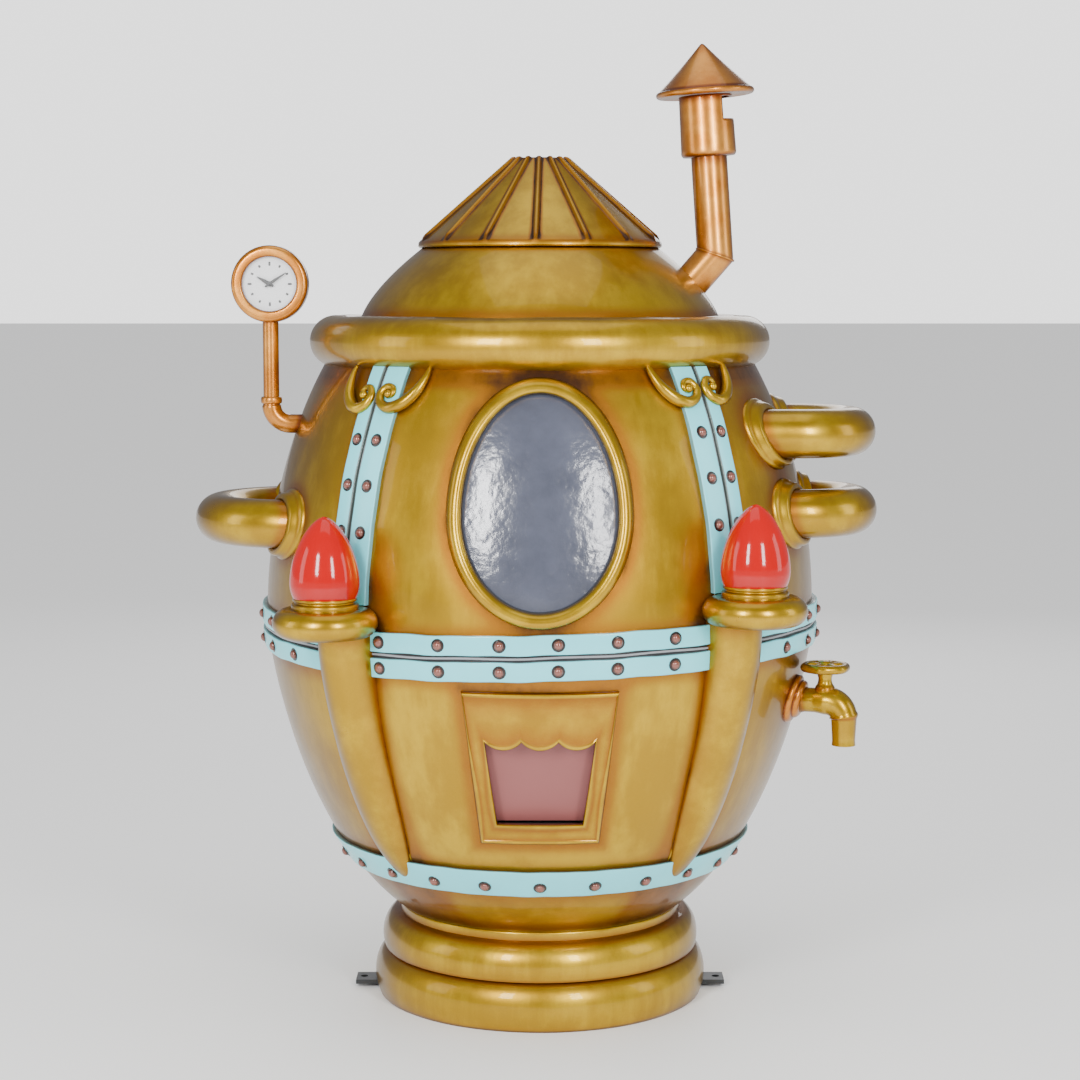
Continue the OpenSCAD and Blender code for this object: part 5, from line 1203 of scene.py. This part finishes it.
def build_clock(sizes):
    """A drum on a bent pipe: rounded face ring, white dial with twelve dots, tapered hands and a flat glass."""
    case = rounded([[DIAL_R, -14], [DIAL_R, -3.5], [DIAL_R + 3, 0], [CLOCK_R - 5, 0], [CLOCK_R, -5],
                    [CLOCK_R, -CLOCK_DEPTH + 4], [CLOCK_R - 4, -CLOCK_DEPTH],
                    [0, -CLOCK_DEPTH], [0, -16], [DIAL_R, -16]], [0.5, 1.5, 2, 4, 4, 3, 3, 0, 0, 0.5], 6)
    # Patina and painted shade round the dial's edge and the drum's rim.
    tone = near(np.abs(case[:, 0] - DIAL_R), 2.5, 0.75) * (case[:, 1] > -20) + near(np.abs(case[:, 0] - CLOCK_R), 3,
            0.45)
    grid = clock_turned(case)
    make_piece("clock_drum", Work().grid(grid, np.broadcast_to(np.clip(tone, 0, 1)[:, None], grid.shape[:2])),
               "copper", replaces=("clock_case",), crease=50)

    dial = Work().grid(clock_turned([[4.5, -14], [4.5, -12.2], [DIAL_R + 1, -12.2], [DIAL_R + 1, -14], [4.5, -14]]))
    make_piece("dial", dial, "dial", replaces=("clock_dial",), crease=40)
    dots = Work()
    for i in range(12):
        a = math.radians(30 * i)
        mark = rounded([[-1.8, -2.6], [1.8, -2.6], [1.8, 2.6], [-1.8, 2.6]], 1.2, 4)
        long = 1.35 if i % 3 == 0 else 0.9
        flat = np.stack([mark[:, 0] * math.cos(a) + (mark[:, 1] * long + 35) * math.sin(a),
                         -mark[:, 0] * math.sin(a) + (mark[:, 1] * long + 35) * math.cos(a)], -1)
        stack = np.stack([np.concatenate([flat, np.full((len(flat), 1), h)], -1) for h in (-12.4, -11.9)])
        dots.grid(at_clock(capped(stack)))
    make_piece("dial_marks", dots, "black", crease=40)
    glass = Work().grid(clock_turned([[0, -3], [DIAL_R + 1.5, -3], [DIAL_R + 1.5, -1.2], [0, -1.0]]))
    make_piece("dial_glass", glass, "glass", replaces=("clock_glass",), crease=40)

    for name, node, body, az, shape, h0, h1 in (
            ("hand_hour", "hour_hand", "hour", 300,
             [[-1.8, -8], [1.8, -8], [3.4, 0], [3.2, 10], [0.8, 25], [-0.8, 25], [-3.2, 10], [-3.4, 0]], -9.0, -8.0),
            ("hand_minute", "minute_hand", "minute", 56,
             [[-1.4, -9], [1.4, -9], [2.6, 0], [2.4, 14], [0.7, 35], [-0.7, 35], [-2.4, 14], [-2.6, 0]], -7.0, -6.0)):
        a = math.radians(az)
        outline = rounded(shape, 0.6, 4)
        flat = np.stack([outline[:, 0] * math.cos(a) + outline[:, 1] * math.sin(a),
                         -outline[:, 0] * math.sin(a) + outline[:, 1] * math.cos(a)], -1)
        hand = Work()
        stack = np.stack([np.concatenate([flat, np.full((len(flat), 1), h)], -1) for h in (h0, h1)])
        hand.grid(at_clock(capped(stack)))
        hand.grid(clock_turned([[0, h0 - 0.2], [4.4, h0 - 0.2], [4.4, h1 + 0.3], [3.4, h1 + 0.8], [0, h1 + 0.8]], 32))
        if body == "minute":
            hand.grid(clock_turned([[0, -28], [2, -28], [2, -6], [0, -6]], 24))
        make_piece(name, hand, "black", body=body, replaces=(node,), crease=40)

    pipe = Work()
    a = math.radians(CLOCK_AZ)
    inward = np.array([-math.sin(a), math.cos(a)])
    bend = 34.0
    turns = np.linspace(0, math.pi / 2, 26)
    high = np.linspace(CLOCK_Z - CLOCK_R + 3, CLOCK_BEND_Z + bend, 40)
    reach = np.linspace(bend, bend + 24, 12)
    at = np.concatenate([0 * high, bend - bend * np.cos(turns), reach])
    up = np.concatenate([high, CLOCK_BEND_Z + bend - bend * np.sin(turns), np.full_like(reach, CLOCK_BEND_Z)])
    path = np.stack([CLOCK_AT[0] + at * inward[0], CLOCK_AT[1] + at * inward[1], up], -1)
    travel = np.concatenate([[0], np.cumsum(np.linalg.norm(np.diff(path, axis=0), axis=1))])
    bend_start = high[0] - high[-1]
    r = np.interp(travel, [0, bend_start - 1, bend_start, bend_start + 1, bend_start + 70, 400],
                  [14, 14, 15, 16.6, 16.6, 16.6])
    side = flat_frames(path, np.array([inward[1], -inward[0], 0]))
    grid = carried(path, side, np.array([inward[1], -inward[0], 0]), circle(1.0, 40), r)
    keep_out = np.hypot(grid[..., 0], grid[..., 1])
    grid = under_skin(grid, 1.5)
    # Patina and painted shade where the stem meets the skin, at the bend and at its end.
    tone = near(keep_out - skin_r(grid[..., 2]), 9, 0.8) + near(np.abs(travel - bend_start), 6, 0.4)[:,
            None] + near(travel, 6, 0.6)[:, None]
    pipe.grid(capped(grid), np.clip(np.concatenate([tone[:1], tone, tone[-1:]]), 0, 1))
    ring = rounded([[13, 0], [18.4, 1], [18.8, 9], [17.2, 13], [13, 13]], [0.5, 3, 4, 2, 0.5])
    ring = np.concatenate([ring, ring[:1]])
    pipe.grid(turned(ring + [0, CLOCK_BEND_Z + bend + 1], 48, (CLOCK_AT[0], CLOCK_AT[1])), 0.2)
    make_piece("clock_stem", pipe, "copper", replaces=("clock_pipe",), crease=60)


# ---- chimney ----
def at_flue(points):
    """Local points laid along the leaning flue, from the elbow up."""
    a = math.radians(LEAN)
    return placed(points, ELBOW, (math.cos(a), 0, math.sin(a)), (0, 1, 0), (-math.sin(a), 0, math.cos(a)))


def flue_turned(profile, count=96):
    """A profile of radii and heights turned about the flue's axis."""
    profile = np.asarray(profile, float)
    a = np.linspace(0, 2 * math.pi, count + 1)
    return at_flue(np.stack(np.broadcast_arrays(profile[:, :1] * np.sin(a), -profile[:, :1] * np.cos(a),
                                                profile[:, 1:]), -1))


def build_chimney(sizes):
    """A two-part pipe mitred at the elbow, a wider head with a cut-out, and a cone-shaped hat."""
    stub, lean = math.radians(STUB_ANGLE), math.radians(LEAN)
    down = np.array([-math.cos(stub), 0.0, -math.sin(stub)])
    upward = np.array([-math.sin(lean), 0, math.cos(lean)])
    fold = upward - down
    fold = fold / np.linalg.norm(fold)
    section = circle(FLUE_R, 64)
    pipe = Work()
    elbow = np.array(ELBOW)

    def leg(direction, length):
        """A straight pipe from the mitre's plane outwards: each line of it starts where it meets that plane."""
        side = np.array([0, 1.0, 0])
        ring = section[:, :1] * np.cross(direction, side) + section[:, 1:] * side
        cut = -(ring @ fold) / (direction @ fold)
        t = np.linspace(0, 1, 24)[:, None]
        along = cut[None] * (1 - t) + length * t
        return elbow + ring[None] + along[..., None] * direction

    lower = leg(down, STUB_LEN)
    t = np.linspace(0, 1, 24)[:, None]
    # Patina and painted shade at the elbow and where the stub enters the body.
    pipe.grid(lower, np.broadcast_to(near(t * STUB_LEN, 8, 0.6) + near((1 - t) * STUB_LEN - 34, 16, 0.7),
                                     lower.shape[:2]))
    upper = leg(upward, FLUE_LEN + 12)
    # Patina and painted shade at the elbow and under the head.
    pipe.grid(upper, np.broadcast_to(near(t * FLUE_LEN, 7, 0.6) + near((1 - t) * FLUE_LEN - 12, 16, 0.6),
                                     upper.shape[:2]))
    bead_centre = upper[0]
    out_dir = bead_centre - elbow
    out_dir = out_dir / np.linalg.norm(out_dir, axis=1)[:, None]
    bead = carried(bead_centre, out_dir, fold, circle(2.2, 10) * [0.8, 1.0])
    pipe.grid(bead, 0.25)
    make_piece("flue", pipe, "copper", replaces=("chimney_pipe",), crease=60)

    low, high = FLUE_LEN, FLUE_LEN + COWL_H
    cut_low, cut_high = low + COWL_H * 0.60, high - 3.0
    heights = np.concatenate([[low, low + 1.2, low + 4.5], spread([low + 8, cut_low, cut_high, high + 1], 6.0)])
    radii = np.interp(heights, [low, low + 1.2, low + 4.5, low + 8, high + 1],
                      [FLUE_R + 1, COWL_R - 3, COWL_R - 0.6, COWL_R, COWL_R - 2])
    radii = np.concatenate([[FLUE_R - 0.5], radii])
    heights = np.concatenate([[low], heights])
    az = np.radians(spread([-180, 34, 146, 180], 4.0))
    local = np.stack(np.broadcast_arrays(radii[:, None] * np.sin(az), -radii[:, None] * np.cos(az), heights[:, None]),
                     -1)
    mid_az, mid_z = np.meshgrid((np.degrees(az[1:]) + np.degrees(az[:-1])) / 2, (heights[1:] + heights[:-1]) / 2,
                                indexing="xy")
    keep = ~((mid_az > 34) & (mid_az < 146) & (mid_z > cut_low) & (mid_z < cut_high))
    # Patina and painted shade at the head's foot and under its top edge.
    tone = np.maximum(near(heights - low, 7, 0.6), near(high - heights, 12, 0.7))[:, None] * np.ones((1, len(az)))
    head = Work().grid(at_flue(local), tone, keep)
    make_piece("flue_head", head, "copper", replaces=("chimney_cowl",), wall=4.0,
               centre=at_flue(np.array([0, 0, low + 60.0])), crease=50)

    slope = np.linspace(0, 1, 30)
    rim = half_round(6.0, 12, -110, 60, (HAT_R - 6, 6))
    cone = np.stack([HAT_R - 4 - (HAT_R - 9) * slope, 11 + (HAT_H - 14) * slope - 1.5 * np.sin(slope * math.pi)], -1)
    profile = np.concatenate([[[0, 5.0], [HAT_R - 16, 3.0]], rim, cone, [[2.6, HAT_H - 0.8], [0, HAT_H]]]) + [0, high]
    grid = flue_turned(profile, 72)
    a = np.linspace(0, 2 * math.pi, 73)
    # Patina and painted shade where the rim meets the cone and at the tip, over an even light toning.
    tone = near(np.abs(profile[:, 1] - high - 12), 2.5, 0.6)[:,
                                                             None] + 0.22 + 0 * a[None] + near(high + HAT_H
                                                                     - profile[:, 1], 10, 0.3)[:, None]
    make_piece("flue_hat", Work().grid(grid, np.clip(tone, 0, 1)), "copper",
               replaces=("chimney_cap",), crease=50)


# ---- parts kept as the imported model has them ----
KEPT = {
    "black_steel": ["anchor_bar"], "rubber": ["base_feet"], "grey_steel": ["base_frame", "hatch_tray", "gear_motor"],
    "flap": ["delivery_flap"], "zinc": ["flap_pin", "rotor_gear", "drive_pinion", "delivery_chute", "control_unit",
                                        "door_hinges", "door_lock"],
    "white": ["lamp_bulbs", "dosing_rotor"], "black": ["clock_movement", "power_inlet"], "wood": ["inner_deck"],
    "bin": ["hopper"],
    "gold": ["service_door"],
}


def paint_kept():
    """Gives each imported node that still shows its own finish."""
    for finish_name, nodes in KEPT.items():
        for node in nodes:
            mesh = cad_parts[node].data
            mesh.materials.clear()
            mesh.materials.append(paints()[finish_name])


# ---- stage ----
def soft_light(name, place, aim, size, power, tint=(1, 1, 1)):
    """A rectangular light that looks at a point."""
    light = bpy.data.lights.new(name, "AREA")
    light.shape, light.size, light.size_y, light.energy, light.color = "RECTANGLE", size[0], size[1], power, tint
    lamp = bpy.data.objects.new(name, light)
    bpy.context.scene.collection.objects.link(lamp)
    look_from(lamp, place, aim)
    return lamp


def look_from(thing, place, aim):
    """Puts an object at a place, with its -Z towards a point."""
    direction = Vector(aim) - Vector(place)
    thing.location = place
    thing.rotation_mode = "QUATERNION"
    thing.rotation_quaternion = direction.to_track_quat("-Z", "Y")


def build_stage():
    """A pale floor, a white surround, two tall soft boxes either side of the camera, softer fills, and the camera."""
    scene = bpy.context.scene
    mesh = bpy.data.meshes.new("floor")
    mesh.from_pydata([(-90, -90, 0), (90, -90, 0), (90, 90, 0), (-90, 90, 0)], [], [(0, 1, 2, 3)])
    floor = bpy.data.objects.new("floor", mesh)
    scene.collection.objects.link(floor)
    material = bpy.data.materials.new("pale floor")
    material.use_nodes = True
    material.node_tree.nodes["Principled BSDF"].inputs["Base Color"].default_value = (0.93, 0.93, 0.93, 1)
    material.node_tree.nodes["Principled BSDF"].inputs["Roughness"].default_value = 0.6
    mesh.materials.append(material)

    world = bpy.data.worlds.new("studio")
    scene.world = world
    world.use_nodes = True
    n = Nodes(world.node_tree)
    background = world.node_tree.nodes["Background"]
    rays = n.add("ShaderNodeLightPath").outputs
    shade = n.mix(rays["Is Diffuse Ray"], (0.30, 0.305, 0.32, 1), (1.05, 1.05, 1.05, 1))
    shade = n.mix(rays["Is Camera Ray"], shade, (2.1, 2.1, 2.1, 1))
    world.node_tree.links.new(shade, background.inputs["Color"])
    background.inputs["Strength"].default_value = 1.0

    soft_light("softbox_left", (-1.5, -3.4, 2.1), (0, 0, 0.95), (0.55, 1.5), 98)
    soft_light("softbox_right", (1.6, -3.4, 2.0), (0, 0, 0.95), (0.55, 1.5), 80)
    soft_light("fill_left", (-4.2, -1.2, 1.8), (0, 0, 0.9), (1.2, 2.4), 26)
    soft_light("fill_right", (4.2, -1.0, 1.8), (0, 0, 0.9), (1.2, 2.4), 26)
    soft_light("overhead", (0, -0.4, 4.2), (0, 0, 0.8), (2.6, 2.6), 24)
    soft_light("rear", (0.5, 4.2, 2.6), (0, 0, 0.9), (2.4, 2.0), 45)

    camera = bpy.data.cameras.new("camera")
    camera.lens, camera.sensor_width = CAMERA_LENS, 36.0
    camera.clip_end = 100
    view = bpy.data.objects.new("camera", camera)
    scene.collection.objects.link(view)
    view.location = CAMERA_AT
    view.rotation_euler = (math.radians(90 - CAMERA_TILT), 0, 0)
    scene.camera = view


# ---- settings, operators and panel ----
def length(name, description, default):
    """A length that a user may change."""
    return FloatProperty(name=name, description=description, default=default, min=0.0002, subtype="DISTANCE",
                         unit="LENGTH")


def colour(name, description, default):
    """A colour that a user may change."""
    return FloatVectorProperty(name=name, description=description, default=default, size=3, min=0, max=1,
                               subtype="COLOR")


class BoilerSizes(PropertyGroup):
    """Sizes of the trim, in metres."""

    wall: length("Skin Thickness", "Thickness of the moulded skins", 0.006)
    strip_proud: length("Strip Thickness", "How far the turquoise strips stand out", 0.009)
    rivet_r: length("Rivet Radius", "Radius of a rivet's head", 0.0082)
    rivet_h: length("Rivet Height", "Height of a rivet's head", 0.0072)
    window_rim: length("Window Rim Width", "Width of the rim round the window", 0.026)
    window_rim_proud: length("Window Rim Height", "How far that rim stands out", 0.019)
    hatch_proud: length("Hatch Surround Height", "How far the hatch's surround stands out", 0.009)
    brim_tube: length("Brim Radius", "Radius of the brim's roll", 0.046)
    cap_rib: length("Cap Rib Height", "Height of the ribs on the cap", 0.006)
    column_width: length("Column Width", "Width of a column at its top", 0.096)
    lamp_r: length("Lamp Radius", "Widest radius of a red lamp", 0.057)
    lamp_h: length("Lamp Height", "Height of a red lamp", 0.133)
    loop_tube: length("Loop Radius", "Radius of the pipe loops' tube", 0.042)


class BoilerColours(PropertyGroup):
    """Colours of the paints and plastics."""

    gold_light: colour("Light Gold", "Gold paint where it is bright", (0.60, 0.375, 0.012))
    gold: colour("Gold", "Gold paint", (0.43, 0.245, 0.005))
    # Amber and crease brown are laid by the tone attribute: amber patina and painted shade near edges, darker patina
    # and painted shade in the creases.
    amber: colour("Amber", "Amber glaze that has settled near edges", (0.36, 0.135, 0.004))
    crease: colour("Crease Brown", "Dark glaze in the creases", (0.06, 0.022, 0.008))
    copper_light: colour("Light Copper", "Copper paint where it is bright", (0.78, 0.34, 0.06))
    copper: colour("Copper", "Copper paint", (0.56, 0.19, 0.018))
    # The copper colour near edges is patina and painted shade, laid by the tone attribute.
    copper_patina_shade: colour("Patina Shade Copper", "Copper paint near edges", (0.25, 0.06, 0.008))
    rivet: colour("Rivet Copper", "Paint on the rivets' heads", (0.27, 0.095, 0.07))
    turquoise: colour("Turquoise", "Paint on the strips", (0.17, 0.72, 0.80))
    lamp_red: colour("Lamp Red", "Plastic of the lamps", (0.40, 0.0, 0.0))
    smoke: colour("Smoke", "Plastic of the window", (0.075, 0.082, 0.115))
    flap: colour("Mauve", "Plastic of the delivery flap", (0.27, 0.085, 0.08))


class BOILER_OT_lower_skin(Operator):
    """Builds the lower half of the body"""

    bl_idname = "boiler.lower_skin"
    bl_label = "Lower Skin"
    bl_options = {"REGISTER", "UNDO"}

    def execute(self, context):
        build_lower_skin(context.scene.boiler_sizes)
        return {"FINISHED"}


class BOILER_OT_front_skin(Operator):
    """Builds the front panel round the window"""

    bl_idname = "boiler.front_skin"
    bl_label = "Front Panel"
    bl_options = {"REGISTER", "UNDO"}

    def execute(self, context):
        build_front_skin(context.scene.boiler_sizes)
        return {"FINISHED"}


class BOILER_OT_rear_skin(Operator):
    """Builds the sides and back"""

    bl_idname = "boiler.rear_skin"
    bl_label = "Rear Skin"
    bl_options = {"REGISTER", "UNDO"}

    def execute(self, context):
        build_rear_skin(context.scene.boiler_sizes)
        return {"FINISHED"}


class BOILER_OT_base(Operator):
    """Builds the two turned rolls of the base"""

    bl_idname = "boiler.base"
    bl_label = "Base"
    bl_options = {"REGISTER", "UNDO"}

    def execute(self, context):
        build_base(context.scene.boiler_sizes)
        return {"FINISHED"}


class BOILER_OT_top(Operator):
    """Builds everything above the rim"""

    bl_idname = "boiler.top"
    bl_label = "Brim, Dome and Cap"
    bl_options = {"REGISTER", "UNDO"}

    def execute(self, context):
        build_top(context.scene.boiler_sizes)
        return {"FINISHED"}


class BOILER_OT_strips(Operator):
    """Builds the turquoise strips and their filler"""

    bl_idname = "boiler.strips"
    bl_label = "Strips"
    bl_options = {"REGISTER", "UNDO"}

    def execute(self, context):
        build_strips(context.scene.boiler_sizes)
        return {"FINISHED"}


class BOILER_OT_rivets(Operator):
    """Builds every rivet"""

    bl_idname = "boiler.rivets"
    bl_label = "Rivets"
    bl_options = {"REGISTER", "UNDO"}

    def execute(self, context):
        build_rivets(context.scene.boiler_sizes)
        return {"FINISHED"}


class BOILER_OT_scrolls(Operator):
    """Builds the four scrolls under the brim"""

    bl_idname = "boiler.scrolls"
    bl_label = "Scrolls"
    bl_options = {"REGISTER", "UNDO"}

    def execute(self, context):
        build_scrolls(context.scene.boiler_sizes)
        return {"FINISHED"}


class BOILER_OT_window(Operator):
    """Builds the window's rim, seal and pane"""

    bl_idname = "boiler.window"
    bl_label = "Window"
    bl_options = {"REGISTER", "UNDO"}

    def execute(self, context):
        build_window(context.scene.boiler_sizes)
        return {"FINISHED"}


class BOILER_OT_hatch(Operator):
    """Builds the hatch's surround"""

    bl_idname = "boiler.hatch"
    bl_label = "Hatch"
    bl_options = {"REGISTER", "UNDO"}

    def execute(self, context):
        build_hatch(context.scene.boiler_sizes)
        return {"FINISHED"}


class BOILER_OT_columns(Operator):
    """Builds the two columns"""

    bl_idname = "boiler.columns"
    bl_label = "Columns"
    bl_options = {"REGISTER", "UNDO"}

    def execute(self, context):
        build_columns(context.scene.boiler_sizes)
        return {"FINISHED"}


class BOILER_OT_lamps(Operator):
    """Builds the shelves, rings and red lamps"""

    bl_idname = "boiler.lamps"
    bl_label = "Lamps"
    bl_options = {"REGISTER", "UNDO"}

    def execute(self, context):
        build_lamps(context.scene.boiler_sizes)
        return {"FINISHED"}


class BOILER_OT_loops(Operator):
    """Builds the three pipe loops and their collars"""

    bl_idname = "boiler.loops"
    bl_label = "Pipe Loops"
    bl_options = {"REGISTER", "UNDO"}

    def execute(self, context):
        build_loops(context.scene.boiler_sizes)
        return {"FINISHED"}


class BOILER_OT_tap(Operator):
    """Builds the tap and its handwheel"""

    bl_idname = "boiler.tap"
    bl_label = "Tap"
    bl_options = {"REGISTER", "UNDO"}

    def execute(self, context):
        build_tap(context.scene.boiler_sizes)
        return {"FINISHED"}


class BOILER_OT_clock(Operator):
    """Builds the clock and its stem"""

    bl_idname = "boiler.clock"
    bl_label = "Clock"
    bl_options = {"REGISTER", "UNDO"}

    def execute(self, context):
        build_clock(context.scene.boiler_sizes)
        return {"FINISHED"}


class BOILER_OT_chimney(Operator):
    """Builds the chimney"""

    bl_idname = "boiler.chimney"
    bl_label = "Chimney"
    bl_options = {"REGISTER", "UNDO"}

    def execute(self, context):
        build_chimney(context.scene.boiler_sizes)
        return {"FINISHED"}


class BOILER_OT_kept_nodes(Operator):
    """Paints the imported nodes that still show"""

    bl_idname = "boiler.kept_nodes"
    bl_label = "Kept Nodes"
    bl_options = {"REGISTER", "UNDO"}

    def execute(self, context):
        paint_kept()
        return {"FINISHED"}


class BOILER_OT_stage(Operator):
    """Builds the floor, the lights and the camera"""

    bl_idname = "boiler.stage"
    bl_label = "Stage"
    bl_options = {"REGISTER", "UNDO"}

    def execute(self, context):
        build_stage()
        return {"FINISHED"}


class BOILER_PT_panel(Panel):
    """Lists every builder with the sizes and colours it uses"""

    bl_idname = "BOILER_PT_panel"
    bl_label = "Boiler Treat Machine"
    bl_space_type = "VIEW_3D"
    bl_region_type = "UI"
    bl_category = "Boiler"

    def draw(self, context):
        layout = self.layout
        for group in (context.scene.boiler_sizes, context.scene.boiler_colours):
            box = layout.box()
            for key in group.bl_rna.properties.keys():
                if key not in {"rna_type", "name"}:
                    box.prop(group, key)
        for operator in OPERATORS:
            layout.operator(operator.bl_idname)


OPERATORS = (
    BOILER_OT_stage, BOILER_OT_kept_nodes,
    BOILER_OT_lower_skin, BOILER_OT_front_skin, BOILER_OT_rear_skin, BOILER_OT_base, BOILER_OT_top, BOILER_OT_strips,
    BOILER_OT_rivets, BOILER_OT_scrolls, BOILER_OT_window, BOILER_OT_hatch, BOILER_OT_columns, BOILER_OT_lamps,
    BOILER_OT_loops, BOILER_OT_tap, BOILER_OT_clock, BOILER_OT_chimney,
)
CLASSES = (BoilerSizes, BoilerColours, *OPERATORS, BOILER_PT_panel)


def register():
    """Registers every class and puts the settings on the scene."""
    for cls in CLASSES:
        bpy.utils.register_class(cls)
    bpy.types.Scene.boiler_sizes = PointerProperty(type=BoilerSizes)
    bpy.types.Scene.boiler_colours = PointerProperty(type=BoilerColours)


def unregister():
    """Takes the settings off the scene and unregisters every class."""
    del bpy.types.Scene.boiler_sizes
    del bpy.types.Scene.boiler_colours
    for cls in reversed(CLASSES):
        bpy.utils.unregister_class(cls)


def main():
    """Builds the whole machine and its stage."""
    register()
    bpy.ops.boiler.stage()
    bpy.ops.boiler.kept_nodes()
    bpy.ops.boiler.lower_skin()
    bpy.ops.boiler.front_skin()
    bpy.ops.boiler.rear_skin()
    bpy.ops.boiler.base()
    bpy.ops.boiler.top()
    bpy.ops.boiler.strips()
    bpy.ops.boiler.rivets()
    bpy.ops.boiler.scrolls()
    bpy.ops.boiler.window()
    bpy.ops.boiler.hatch()
    bpy.ops.boiler.columns()
    bpy.ops.boiler.lamps()
    bpy.ops.boiler.loops()
    bpy.ops.boiler.tap()
    bpy.ops.boiler.clock()
    bpy.ops.boiler.chimney()
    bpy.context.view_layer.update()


if __name__ == "__main__":
    main()
